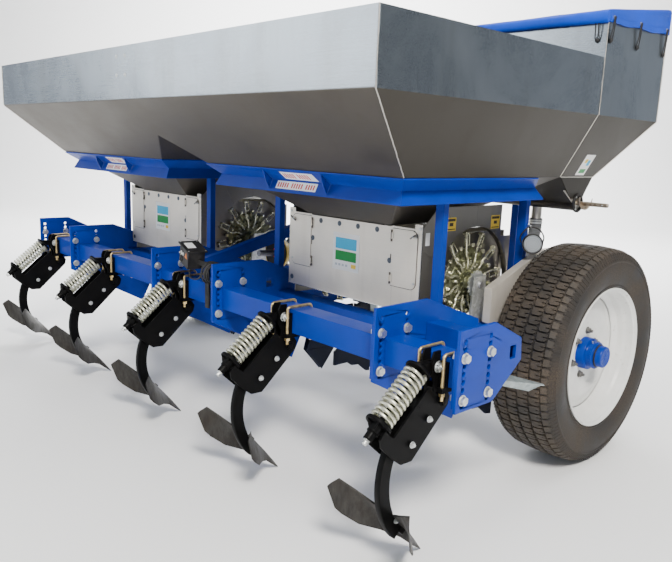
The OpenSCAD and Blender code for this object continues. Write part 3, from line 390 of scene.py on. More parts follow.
class Piece:
    """Collects shapes, in metres, into one mesh object."""

    def __init__(self, name):
        self.name = name
        self.bm = bmesh.new()
        self.mats = []

    def add(self, points, faces, mat):
        if mat not in self.mats:
            self.mats.append(mat)
        index = self.mats.index(mat)
        made = [self.bm.verts.new(p) for p in points]
        for f in faces:
            face = self.bm.faces.new([made[i] for i in f])
            face.material_index = index
            face.smooth = True

    def prism(self, outline, x0, x1, mat):
        """An outline of (y, z) in machine millimetres, from x0 to x1."""
        n = len(outline)
        points = [at(x, y, z) for x in (x0, x1) for y, z in outline]
        self.add(points, [tuple(range(n - 1, -1, -1)), tuple(range(n, 2 * n))]
                 + [(i, (i + 1) % n, n + (i + 1) % n, n + i) for i in range(n)], mat)

    def block(self, low, high, mat):
        """A box from corner to corner, in machine millimetres."""
        low, high = at(*low), at(*high)
        points = [Vector((x, y, z)) for x in (low.x, high.x) for y in (low.y, high.y) for z in (low.z,
                                                                                                high.z)]
        self.add(points, [(0, 1, 3, 2), (4, 6, 7, 5), (0, 4, 5, 1), (2, 3, 7, 6), (0, 2, 6, 4), (1, 5, 7, 3)],
                 mat)

    def turned(self, start, axis, profile, mat, sides=48, closed=False):
        """A lathe shape: profile is (radius, distance along axis) in mm, from start in metres."""
        axis = Vector(axis).normalized()
        u, v = ring_frame(axis)
        points = []
        for r, h in profile:
            for k in range(sides):
                a = 2 * math.pi * k / sides
                points.append(start + axis * h / 1000 + (u * math.cos(a) + v * math.sin(a)) * r / 1000)
        n = len(profile)
        faces = [(a, d, c, b) for a, b, c, d in joined(n, sides, closed)]
        if not closed:
            if profile[0][0] > 0:
                faces.append(tuple(range(sides)))
            if profile[-1][0] > 0:
                faces.append(tuple((n - 1) * sides + k for k in range(sides - 1, -1, -1)))
        self.add(points, faces, mat)

    def rod(self, a, b, r, mat, sides=20, chamfer=0.8):
        """A round bar between two points in metres, r in mm."""
        length = (b - a).length * 1000
        c = min(chamfer, r * 0.4, length * 0.3)  # a thin or short bar gets a smaller chamfer
        self.turned(a, b - a, [(r - c, 0), (r, c), (r, length - c), (r - c, length)], mat, sides)

    def hexagon(self, a, axis, r, h, mat, washer=0.0, stud=0.0):
        """A hexagonal head or nut standing on a, with its washer and the end of its stud."""
        axis = Vector(axis).normalized()
        if washer:
            self.turned(a, axis, [(washer - 0.6, 0), (washer, 0.6), (washer, 2.4), (washer - 0.6, 3)], mat,
                        28)
            a = a + axis * 0.003
        self.turned(a, axis, [(r, 0), (r, h * 0.86), (r * 0.86, h)], mat, 6)
        if stud:
            self.turned(a + axis * h / 1000, axis, [(r * 0.5, -0.5), (r * 0.5, stud - 1), (r * 0.4, stud)],
                        mat, 16)

    def tube(self, path, r, mat, sides=12, closed=False):
        """A round bar along a path in metres, r in mm."""
        n = len(path)
        tangents = []
        for i in range(n):
            before = path[(i - 1) % n] if closed or i else path[0]
            after = path[(i + 1) % n] if closed or i < n - 1 else path[-1]
            tangents.append((after - before).normalized())
        u, v = ring_frame(tangents[0])
        points = []
        for i, p in enumerate(path):
            u = (u - tangents[i] * u.dot(tangents[i])).normalized()
            v = tangents[i].cross(u)
            for k in range(sides):
                a = 2 * math.pi * k / sides
                points.append(p + (u * math.cos(a) + v * math.sin(a)) * r / 1000)
        faces = joined(n, sides, closed)
        if not closed:
            faces.append(tuple(range(sides - 1, -1, -1)))
            faces.append(tuple((n - 1) * sides + k for k in range(sides)))
        self.add(points, faces, mat)

    def done(self, body, replaces=(), slot=None, bevel=0.0, crease=35):
        """Makes the object, with hard edges past crease degrees and a bevel in mm."""
        bmesh.ops.recalc_face_normals(self.bm, faces=self.bm.faces)
        for e in self.bm.edges:
            e.smooth = len(e.link_faces) == 2 and e.calc_face_angle(math.pi) < math.radians(crease)
        mesh = bpy.data.meshes.new(self.name)
        self.bm.to_mesh(mesh)
        self.bm.free()
        for m in self.mats:
            mesh.materials.append(m)
        obj = bpy.data.objects.new(self.name, mesh)
        bpy.context.scene.collection.objects.link(obj)
        if bevel:
            add_bevel(obj, bevel)
        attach(obj, body)
        if replaces:
            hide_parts(*replaces)
        return obj


def add_bevel(obj, width, segments=2):
    """Softens edges sharper than 32 degrees, by a width in mm."""
    made = obj.modifiers.new("edges", "BEVEL")
    made.width = width / 1000
    made.segments = segments
    made.limit_method = "ANGLE"
    made.angle_limit = math.radians(32)
    made.harden_normals = True
    made.use_clamp_overlap = True
    return made


def dress(node, mat, bevel):
    """Gives a CAD node its finish and edges softened by bevel mm."""
    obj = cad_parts[node]
    obj.data.materials.clear()
    obj.data.materials.append(mat)
    weld = obj.modifiers.new("weld", "WELD")
    weld.merge_threshold = 0.00002
    add_bevel(obj, bevel)


def arc(centre, r, start, stop, steps):
    """Points (a, b) of an arc, in degrees."""
    out = []
    for k in range(steps + 1):
        a = math.radians(start + (stop - start) * k / steps)
        out.append((centre[0] + r * math.cos(a), centre[1] + r * math.sin(a)))
    return out


# ---------------------------------------------------------------- frame and tines
for node in ("tool_bar", "frame_plates", "main_frame", "hopper_posts", "hopper_cradles", "hitch_mast"):
    dress(node, BLUE, 2.0)
# picking_boxes takes the brightened stainless, painted light; side_covers takes the darkened one, painted
# shade
for node, mat, bevel in (("plate_bolts", ZINC, 1.0), ("shaft_bearings", ZINC, 1.0),
                         ("tine_u_bolts", YELLOW, 0.6), ("tine_brackets", BLACK, 1.5),
                         ("stub_axles", AXLE, 1.5), ("furrow_openers", OPENER_PAINTED_SHADE, 1.5),
                         ("control_box", PLASTIC, 3.0), ("picking_boxes", STEEL_BOX_PAINTED_LIGHT, 0.6),
                         ("side_covers", STEEL_SIDE_PAINTED_SHADE, 0.6)):
    dress(node, mat, bevel)
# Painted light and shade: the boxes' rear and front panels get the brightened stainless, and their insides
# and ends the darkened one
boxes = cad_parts["picking_boxes"].data
boxes.materials.append(STEEL_SIDE_PAINTED_SHADE)
for face in boxes.polygons:
    face.material_index = 0 if abs(face.normal.y) > 0.9 else 1
# The chain guards and box doors take the brightened stainless too, painted light
dress("chain_guards", STEEL_BOX_PAINTED_LIGHT, 0.8)
for n in range(1, 5):
    dress(f"box_door_{n}", STEEL_BOX_PAINTED_LIGHT, 0.8)
for n in range(1, 6):
    dress(f"tine_arm_{n}", BLACK, 1.5)
    dress(f"tine_shank_{n}", BLACK, 2.5)
    dress(f"spring_rod_{n}", BLACK, 1.2)


def spring_line(i):
    """Direction down tine i's spring, the direction square to it, and the lower seat."""
    a = math.radians(SPRING_DEG)
    return Vector((0, -math.cos(a), -math.sin(a))), Vector((0, math.sin(a), -math.cos(a))), tine_at(i, 0,
                                                                                                    *SEAT_LOW)


def coil_spring(i):
    """A compression spring with closed, ground ends, along the rod of tine i."""
    along, across, low = spring_line(i)
    top = low - along * SPRING_LEN / 1000
    wire, mean, turns, steps = 6.4, 36.4, 11.5, 26
    closed = 2 * wire * 0.92  # pitch of the closed end turns
    path = []
    total = int(turns * steps)
    for k in range(total + 1):
        t = k / steps
        inner = min(max((t - 0.8) / (turns - 1.6), 0), 1)
        ends = min(t, 0.8) + max(t - (turns - 0.8), 0)
        s = wire + 0.6 + ends * closed + inner * (SPRING_LEN - 2 * wire - 1.2 - 1.6 * closed)
        turn = 2 * math.pi * t
        out = X_AXIS * math.cos(turn) + across * math.sin(turn)
        path.append(top + along * s / 1000 + out * mean / 1000)
    piece = Piece(f"coil_spring_{i + 1}")
    piece.tube(path, wire, SPRING, 12)
    made = piece.done(f"rod_{i + 1}", [f"trip_spring_{i + 1}"], "spring_steel")
    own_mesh(made)


def along_line(points, t):
    """A point a share t of the way along a polyline, by its corners."""
    t = min(max(t, 0), 1) * (len(points) - 1)
    k = min(int(t), len(points) - 2)
    return Vector(points[k]).lerp(Vector(points[k + 1]), t - k)


def sweep(i):
    """A V-shaped share: two curved wings from one nose, 6 mm thick, bolted to the shank."""
    piece = Piece(f"sweep_{i + 1}")
    across, down = 15, 8
    low_edge = [(1.2, 8, -679), (28, -70, -612), (70, -125, -583), (122, -182, -564), (158, -232, -523),
                (168, -255, -497)]
    high_edge = [(1.2, -150, -490), (60, -192, -452), (110, -222, -420), (157, -254, -389)]
    for hand in (-1, 1):
        front = []
        for u in range(across + 1):
            t = u / across
            for v in range(down + 1):
                share = v / down
                p = along_line(high_edge, t).lerp(along_line(low_edge, t), share)
                belly = math.sin(math.pi * share) * 9 * math.sin(math.pi * min(1, 0.25 + t * 0.75))
                p += Vector((0, belly, -belly * 0.25))
                fall = 0.36 if share < 0.36 else 0.64
                p += Vector((19.5, -28.5, 15)) * max(0, 1 - abs(share - 0.36) / fall) * t ** 7
                front.append(tine_at(i, p.x * hand, p.y, p.z))
        n = down + 1
        shift = Vector((0, -4.0, -4.6)) / 1000
        back = [p + shift for p in front]
        count = len(front)
        faces = []
        for u in range(across):
            for v in range(down):
                a, b = u * n + v, (u + 1) * n + v
                faces.append((a, b, b + 1, a + 1))
                faces.append((count + a, count + a + 1, count + b + 1, count + b))
        edge = list(range(n)) + [u * n + down for u in range(1, across + 1)]
        edge += [across * n + v for v in range(down - 1, -1, -1)] + [u * n for u in range(across - 1, 0, -1)]
        for k, a in enumerate(edge):
            b = edge[(k + 1) % len(edge)]
            faces.append((a, b, count + b, count + a))
        both = front + back
        for p in both:
            p.z = max(p.z, 0.0004)
        piece.add(both, faces, SHARE)
    for y, z in ((-139, -512), (-98, -566)):
        piece.turned(tine_at(i, 0, y, z), (0, 0.77, 0.64),
                     [(0, 12), (7, 11.5), (10.5, 9.5), (11, 7), (11, -14)], SHARE, 20)
    for hand in (-1, 1):
        piece.hexagon(tine_at(i, hand * 12.4, -150, -508), (hand, 0, 0), 8, 6, ZINC, 10, 4)
    piece.done(f"tine_{i + 1}", [f"tine_sweep_{i + 1}"], "sweep_steel", 0.8, 50)


def tine_hardware(i):
    """Bolts of the arm, the spring's and pivot's bolts, the seats' rims, and the rod's sleeve and nuts."""
    piece = Piece(f"tine_bolts_{i + 1}")
    for y, z in ((-45, -168), (-125, -236)):
        for hand in (-1, 1):
            piece.hexagon(tine_at(i, 41 * hand, y, z), (hand, 0, 0), 9.5, 6, ZINC, 11.5, 5)
    for hand in (-1, 1):
        piece.turned(tine_at(i, 33 * hand, -92, -119), (hand, 0, 0),
                     [(4.5, -2), (5.5, 0.4), (3.2, 0.5), (3.2, -2)], BLACK, 20)
    # Rims of the lower seat and the cast ribs under it
    along, across, low = spring_line(i)
    piece.turned(low, along, [(45.3, 2), (46.5, 4), (46.5, 9), (44, 12), (36, 12.6), (28, 12.4)], BLACK, 48)
    for turn in (-0.6, 0.6, math.pi - 0.6, math.pi + 0.6):
        d = across * math.cos(turn) + X_AXIS * math.sin(turn)
        w = along.cross(d) * 0.003
        foot = low + along * 0.012
        pts = [foot + d * 0.02 - w, foot + d * 0.043 - w, foot + d * 0.02 + along * 0.022 - w,
               foot + d * 0.02 + w, foot + d * 0.043 + w, foot + d * 0.02 + along * 0.022 + w]
        piece.add(pts, [(0, 1, 2), (5, 4, 3), (0, 3, 4, 1), (1, 4, 5, 2), (2, 5, 3, 0)], BLACK)
    piece.done(f"tine_{i + 1}", slot="zinc", bevel=0.4)
    mount = Piece(f"mount_bolt_{i + 1}")
    mount.hexagon(tine_at(i, 28.6, 0, 0), (1, 0, 0), 17.5, 12, ZINC, 21, 10)
    for hand in (-1, 1):
        mount.hexagon(tine_at(i, 43 * hand, *PIVOT), (hand, 0, 0), 14, 7, BLACK, 18)
    mount.done("frame", slot="zinc", bevel=0.8)
    rod = Piece(f"rod_nut_{i + 1}")
    rod.turned(low + along * 0.0405, along, [(17.5, 0), (18, 0.8), (18, 3.4), (16, 4), (16, 26), (14.6, 28)],
               BLACK, 28)
    rod.hexagon(low + along * 0.0685, along, 12, 7, ZINC)
    rod.turned(low + along * 0.075, along, [(8.9, 0), (8.9, 4), (8.2, 4.6), (8.9, 5.2), (8.9, 9), (7, 11)],
               ZINC, 18)
    top = low - along * (SPRING_LEN + 10) / 1000
    rod.turned(top, along, [(28, -0.8), (40, -0.6), (45.4, 0.6), (46.4, 3), (46.4, 8), (45, 10.2)], BLACK, 48)
    rod.done(f"rod_{i + 1}", slot="zinc", bevel=0.5)


for n in range(5):
    coil_spring(n)
    sweep(n)
    tine_hardware(n)


# ---------------------------------------------------------------- hoppers
def weld(piece, a, b, r, seed=1):
    """A rippled weld bead between two points in metres; seed picks its ripples."""
    length = (b - a).length
    steps = max(4, int(length / 0.012))
    path = []
    for k in range(steps + 1):
        p = a.lerp(b, k / steps)
        path.append(p + noise.noise_vector(p * 90 + Vector((seed, 0, 0))) * 0.0009)
    piece.tube(path, r, STEEL_Z, 8)


def sheet_shell(name, points, groups, replaces, bevel=4.0):
    """Folded sheet metal: faces are drawn on the outside and thickened inward."""
    piece = Piece(name)
    made = [piece.bm.verts.new(p) for p in points]
    for index, (mat, faces) in enumerate(groups):
        piece.mats.append(mat)
        for f in faces:
            face = piece.bm.faces.new([made[i] for i in f])
            face.material_index = index
            face.smooth = True
    made = piece.done("frame", replaces, "stainless", crease=20)
    bend = add_bevel(made, bevel, 3)
    bend.harden_normals = False
    skin = made.modifiers.new("thickness", "SOLIDIFY")
    skin.thickness = 0.003
    skin.offset = -1
    skin.use_even_offset = True


def level_ring(points, x, back, front, z):
    """Adds the corners of a level rectangle to points, and returns their numbers."""
    points.extend([at(-x, back, z), at(x, back, z), at(x, front, z), at(-x, front, z)])
    return [len(points) - 4 + k for k in range(4)]


def walls(high, low):
    """Four faces between two level rings."""
    return [(low[k], low[(k + 1) % 4], high[(k + 1) % 4], high[k]) for k in range(4)]


def seed_hopper():
    """Upright walls, slopes, the centre ridge and two funnels, and the trim on them."""
    s, m, h = SEED, MOUTH, HOPPER
    share = (s["knuckle"] - s["ridge"]) / (s["knuckle"] - s["mid"])
    rear_ridge = s["back"] + share * (s["mid_back"] - s["back"])
    points = []
    top = level_ring(points, h, s["back"], s["front"], s["top"])
    knuckle = level_ring(points, h, s["back"], s["front"], s["knuckle"])
    mid = level_ring(points, s["half"], s["mid_back"], s["front"], s["mid"])
    feet = level_ring(points, s["foot"], s["mid_back"], s["front"], s["mid"])
    points.extend([at(0, rear_ridge, s["ridge"]), at(0, s["front"], s["ridge"])])
    ridge = [len(points) - 2, len(points) - 1]
    upper = walls(top, knuckle)
    faces = [(mid[1], mid[2], knuckle[2], knuckle[1])]
    faces.append((mid[3], mid[0], knuckle[0], knuckle[3]))
    faces.append((mid[0], feet[0], ridge[0], feet[1], mid[1], knuckle[1], knuckle[0]))
    faces.append((mid[2], feet[2], ridge[1], feet[3], mid[3], knuckle[3], knuckle[2]))
    faces.append((feet[1], ridge[0], ridge[1], feet[2]))
    faces.append((feet[0], feet[3], ridge[1], ridge[0]))
    for hand in (-1, 1):
        points.extend(at(hand * x, y, m["z"]) for x, y in
                      ((m["x0"], m["y0"]), (m["x1"], m["y0"]), (m["x1"], m["y1"]), (m["x0"], m["y1"])))
        low = [len(points) - 4 + k for k in range(4)]
        high = [feet[1], mid[1], mid[2], feet[2]] if hand > 0 else [feet[0], mid[0], mid[3], feet[3]]
        faces += walls(high, low)
    # Upright walls carry the painted sky reflection; the end slopes and the other slopes are darkened as
    # painted shade
    sheet_shell("seed_hopper_shell", points,
                [(STEEL_PAINTED_SKY, upper), (STEEL_END_PAINTED_SHADE, faces[:2]), (STEEL_LOW_PAINTED_SHADE, faces[2:])],
                ["seed_hopper", "seed_funnels"])

    trim = Piece("seed_hopper_trim")
    # Hemmed rim, turned inward
    t = s["top"]
    for a, b in (((-h + 3, s["back"] + 3), (h - 3, s["back"] + 21)),
                 ((-h + 3, s["front"] - 21), (h - 3, s["front"] - 3)),
                 ((-h + 3, s["back"] + 21), (-h + 21, s["front"] - 21)),
                 ((h - 21, s["back"] + 21), (h - 3, s["front"] - 21))):
        trim.block((a[0], a[1], t - 5), (b[0], b[1], t - 0.5), STEEL_PAINTED_SKY)
    for hand in (-1, 1):
        corners = [(hand * h, s["back"], t), (hand * h, s["back"], s["knuckle"]),
                   (hand * s["half"], s["mid_back"], s["mid"])]
        for a, b in zip(corners, corners[1:]):
            weld(trim, at(*a), at(*b), 2.2, 3 + hand)
        weld(trim, at(hand * (h - 1), s["front"] - 2, s["knuckle"]),
             at(hand * (s["half"] - 1), s["front"] - 2, s["mid"]), 2.4)
    for x in (-52, 30):
        for z in (1657, 1738):
            trim.turned(at(x, s["back"], z), (0, -1, 0), [(9, -1), (9, 0.8), (6.5, 2.6), (3, 3.4)], ZINC, 20)
    trim.done("frame", slot="stainless", bevel=0.8)


def fertiliser_hopper():
    """Walls, slopes and the half-round trough, and the trim on them."""
    f, a, h = FERT, AUGER, HOPPER
    points = []
    rings = []
    for x, back, front, z in ((h, f["back"], f["front"], f["top"]), (h, f["back"], f["front"], f["knuckle"]),
                              (f["half"], f["back"], f["mid_front"], f["mid"]),
                              (a["end"], a["y"] - a["trough"], a["y"] + a["trough"], a["z"])):
        rings.append(level_ring(points, x, back, front, z))
    faces = []
    for high, low in zip(rings, rings[1:]):
        faces += walls(high, low)
    # Half-round bottom of the trough
    last = rings[-1][:2]
    steps = 12
    for k in range(1, steps):
        b = math.radians(180 + 180 * k / steps)
        y, z = a["y"] + a["trough"] * math.cos(b), a["z"] + a["trough"] * math.sin(b)
        points.extend([at(-a["end"], y, z), at(a["end"], y, z)])
        new = [len(points) - 2, len(points) - 1]
        faces.append((last[1], last[0], new[0], new[1]))
        last = new
    faces.append((last[1], last[0], rings[-1][3], rings[-1][2]))
    # Upright walls carry the painted sky reflection; the slopes and trough get the darkest stainless, painted
    # shade
    sheet_shell("fertiliser_shell", points, [(STEEL_PAINTED_SKY, faces[:4]), (STEEL_END_PAINTED_SHADE, faces[4:])],
                ["fertiliser_hopper", "fertiliser_trough"], bevel=3.0)

    trim = Piece("fertiliser_trim")
    for hand in (-1, 1):
        for back in (f["back"], f["front"]):
            weld(trim, at(hand * h, back, f["top"] - 6), at(hand * h, back, f["knuckle"]), 2.2)
        weld(trim, at(hand * h, f["front"], f["knuckle"]), at(hand * f["half"], f["mid_front"], f["mid"]),
             2.4)
        weld(trim, at(hand * f["half"], f["back"] + 2, f["mid"]),
             at(hand * f["half"], f["mid_front"] - 2, f["mid"]), 2.2)
        # Trough end plate, a half-round cheek, and its bearing ring
        cheek = [(a["y"] - a["trough"], a["z"])] + arc((a["y"], a["z"]), a["trough"], 180, 360, 14)
        trim.prism([(f["back"] + 60, f["mid"] - 60)] + cheek[1:] + [(f["mid_front"] - 30, f["mid"] - 60)],
                   hand * a["end"], hand * (a["end"] + 3), STEEL_Z)
        trim.turned(at(hand * (a["end"] + 3), a["y"], a["z"]), (hand, 0, 0),
                    [(a["trough"] + 7, 0), (a["trough"] + 7, 8), (a["trough"] + 4, 10.5), (a["r"] + 4, 10.5),
                     (a["r"] + 4, 0)],
                    PLASTIC, 48, closed=True)
        for k in range(4):
            b = math.radians(45 + 90 * k)
            spot = at(hand * (a["end"] + 13), a["y"] + 38 * math.cos(b), a["z"] + 38 * math.sin(b))
            trim.hexagon(spot, (hand, 0, 0), 4.5, 3.5, ZINC)
        for x in (405, 1215):
            trim.turned(at(hand * x, a["y"], a["z"] - 34), (0, 0, -1),
                        [(24, 0), (24, 66), (27, 72), (24, 73), (21, 73), (21, 0)], STEEL_Z, 32)
    trim.done("frame", slot="stainless", bevel=0.6)


def auger_screw():
    """Shaft with one continuous flight."""
    a = AUGER
    piece = Piece("auger_screw")
    first, last, pitch, steps = -1486, 1486, 58, 20
    piece.turned(at(-1500, a["y"], a["z"]), (1, 0, 0),
                 [(9, 0), (10, 1), (10, 2998), (9.5, 2998.5), (9.5, 3066.5), (8.4, 3068)], AUGER_STEEL, 24)
    total = int((last - first) / pitch * steps)
    points = []
    for k in range(total + 1):
        x = first + (last - first) * k / total
        t = 2 * math.pi * k / steps
        for r, dx in ((9.5, -1.4), (a["r"] - 0.3, -0.8), (a["r"] - 0.3, 0.8), (9.5, 1.4)):
            points.append(at(x + dx, a["y"] + r * math.cos(t), a["z"] + r * math.sin(t)))
    faces = joined(total + 1, 4)
    faces.append((0, 3, 2, 1))
    faces.append(tuple(total * 4 + j for j in range(4)))
    piece.add(points, faces, AUGER_STEEL)
    piece.rod(at(1546, a["y"] - 13, a["z"]), at(1546, a["y"] + 13, a["z"]), 3.2, ZINC)
    piece.done("auger", ["auger"], "auger_steel")


seed_hopper()
fertiliser_hopper()
auger_screw()


# ---------------------------------------------------------------- ground wheels
def crown(h):
    """Radius of the tread's surface, h mm from its middle."""
    h = abs(h)
    return 486 + 7.6 * math.cos(math.radians(h * 0.72)) - max(0, h - 116) * 0.5


def on_wheel(hand, h, r, angle):
    """A point of a ground wheel: h mm out from its middle, r mm from the axle."""
    return at(hand * (WHEEL["x"] + h), WHEEL["y"] + r * math.cos(angle), WHEEL["z"] + r * math.sin(angle))


def lug(piece, hand, outline, turn):
    """One tread block from its (across, along) outline in mm, with a chamfered top."""
    n = len(outline)
    mid = sum(h for h, s in outline) / n, sum(s for h, s in outline) / n
    points = []
    for scale, drop in ((1.02, 11.0), (1.0, 1.8), (0.93, 0.0)):
        for h, s in outline:
            h, s = mid[0] + (h - mid[0]) * scale, mid[1] + (s - mid[1]) * scale
            points.append(on_wheel(hand, h, crown(h) - drop, turn + s / 488))
    faces = joined(3, n)
    faces.append(tuple(2 * n + k for k in range(n)))
    piece.add(points, faces, TREAD)


def tyre(hand, side):
    """Turf tyre: rows of notched blocks, shoulder lugs and fine ribs down the sidewalls."""
    piece = Piece(f"turf_tyre_{side}")
    half = [(304.4, 126), (305.5, 131), (311, 134.5), (320, 135.5), (324, 139), (329, 140.5), (333, 138.5),
            (346, 143.5), (366, 150), (385, 154), (402, 156), (420, 155.4), (433, 153.2), (437, 155.6),
            (441, 155.4), (445, 151.4), (460, 145.5), (471, 138.5), (475.5, 128)]
    half += [(crown(h) - 9.5, h) for h in (112, 84, 56, 28, 0)]
    profile = half + [(r, -h) for r, h in reversed(half[:-1])]
    piece.turned(at(hand * WHEEL["x"], WHEEL["y"], WHEEL["z"]), (hand, 0, 0), profile, TYRE, 168, closed=True)
    block = [(-23, -16.5), (17, -16.5), (23, -11), (23, -3.4), (5, -3.0), (5, 0.6), (23, 1.0), (23, 10),
             (16, 16), (-14, 17.5), (-23, 11)]
    shoulder = [(110, -15), (130, -14.5), (138, -9), (138, 10), (130, 15.5), (110, 15)]
    rows = 77
    for k in range(rows):
        turn = 2 * math.pi * k / rows
        for c, mid in enumerate((-81, -27, 27, 81)):
            lug(piece, hand, [(mid + h, s) for h, s in block], turn + (c % 2) * math.pi / rows)
        lug(piece, hand, shoulder, turn)
        lug(piece, hand, [(-h, -s) for h, s in shoulder], turn + math.pi / rows)
    for k in range(2 * rows):
        turn = math.pi * k / rows
        for out in (-1, 1):
            points = []
            for r, h in ((477, 136), (446, 151.5)):
                for rise, wide in ((-2, 3.6), (2.8, 2.4)):
                    for s in (-wide, wide):
                        points.append(on_wheel(hand, out * min(h + rise, 156), r, turn + s / r))
            piece.add(points, [(0, 1, 3, 2), (4, 6, 7, 5), (2, 3, 7, 6), (0, 2, 6, 4), (1, 5, 7, 3)], TYRE)
    piece.done(f"wheel_{side}", [f"tyre_{side}"], "tyre_rubber", crease=28)


def rim(hand, side):
    """Deep drop-centre rim with a dished disc, welded in, and its hub with six studs."""
    centre = at(hand * WHEEL["x"], WHEEL["y"], WHEEL["z"])
    axis = (hand, 0, 0)
    piece = Piece(f"wheel_rim_{side}")
    inner = [(318, 141.5), (316.8, 143), (313, 143), (309.5, 139.5), (306, 133.5), (300.5, 130), (298.5, 122),
             (298.5, 101), (295, 93), (290.5, 87), (288.5, 79), (288, 66), (285, 59), (273, 50), (265.5, 42),
             (263, 30)]
    flip = [(318, -141.5), (316.8, -143), (313, -143), (306, -133.5), (300.5, -130), (298.5, -122),
            (298.5, -74), (290, -62), (268, -50), (263, -40)]
    outer = [(318, -137), (310, -131.5), (303.6, -127), (303.6, -72), (295, -58), (274, -46), (268, -38),
             (268, 34), (271, 44), (277, 53), (291, 64), (293, 80), (296, 90), (303.6, 103), (303.6, 127),
             (310, 131.5), (318, 137)]
    piece.turned(centre, axis, inner + list(reversed(flip)) + outer, RIM, 144, closed=True)
    piece.turned(centre, axis,
                 [(76, 30.5), (150, 30.5), (176, 35), (199, 45), (240, 30), (263.5, 23), (264.5, 28),
                  (243, 36), (206, 51.5), (200, 52), (194, 50.5), (172, 41), (150, 36.2), (76, 36.2)],
                 RIM, 144, closed=True)
    piece.turned(centre, axis, [(263.5, 27), (258.5, 31.5), (257.5, 34.5), (260, 36.5), (264, 36.5)], RIM,
                 144)
    stem = on_wheel(hand, 92, 292, 2.2)
    piece.rod(stem, stem + Vector((hand * 0.022, 0, 0)), 5, PLASTIC, 14)
    piece.done(f"wheel_{side}", [f"rim_{side}"], "rim_paint", crease=24)

    hub = Piece(f"wheel_hub_{side}")
    hub.turned(centre, axis, [(42, -182), (42, -24), (46, -20), (74, -2), (75, 0), (75, 12), (128, 12),
                              (130, 14), (130, 27.6), (73, 27.8), (73, 71), (71, 75), (61, 77.5), (59.5, 80),
                              (59.5, 97), (62, 98.5), (62, 104), (59.5, 105.5), (58.5, 108), (51, 109.5),
                              (49.5, 112), (49, 139), (46.5, 143), (43, 144.6), (39, 144.6), (36, 142.6),
                              (0, 142)], BLUE, 64)
    for k in range(4):
        a = math.radians(45 * k + 12)
        d = Vector((0, math.cos(a), math.sin(a))) * 0.033
        mid = on_wheel(hand, 142.2, 0, 0)
        hub.rod(mid - d, mid + d, 1.6, BLUE, 8, 0.2)
    hub.turned(on_wheel(hand, 109.3, 0, 0), axis, [(49.5, 0), (52.5, 1.5), (52.5, 7), (49.5, 9)], PLASTIC, 48)
    grease = on_wheel(hand, 88, 58, 1.9)
    hub.rod(grease, grease + Vector((0, math.cos(1.9), math.sin(1.9))) * 0.012, 3.5, ZINC, 12)
    for k in range(6):
        a = math.radians(60 * k + 20)
        hub.hexagon(on_wheel(hand, 36.4, 102.5, a), axis, 13.5, 13, DARK_STEEL, 17, 11)
    for k in range(5):
        a = math.radians(72 * k + 8)
        hub.hexagon(on_wheel(hand, 76.2, 66.5, a), axis, 4.6, 3.4, BLUE)
    teeth = []
    for k in range(18):
        a = 2 * math.pi * k / 18
        for step, r in ((-0.055, 65), (-0.022, 70), (0.022, 70), (0.055, 65)):
            teeth.append((WHEEL["y"] + r * math.cos(a + step), WHEEL["z"] + r * math.sin(a + step)))
    ends = sorted((hand * (WHEEL["x"] - 196.5), hand * (WHEEL["x"] - 188.5)))
    hub.prism(teeth, ends[0], ends[1], ZINC)
    hub.done(f"wheel_{side}", [f"hub_{side}"], "blue_paint", crease=30)


for hand, side in ((-1, "left"), (1, "right")):
    tyre(hand, side)
    rim(hand, side)


# ---------------------------------------------------------------- pick wheels
def smooth(points, steps=5):
    """A curve through the points, that many steps between each two."""
    out = []
    n = len(points)
    for i in range(n - 1):
        a, b, c, d = points[max(i - 1, 0)], points[i], points[i + 1], points[min(i + 2, n - 1)]
        for k in range(steps):
            t = k / steps
            curve = 2 * b + (c - a) * t + (2 * a - 5 * b + 4 * c - d) * t * t
            out.append((curve + (3 * b - a - 3 * c + d) * t ** 3) / 2)
    out.append(points[-1])
    return out


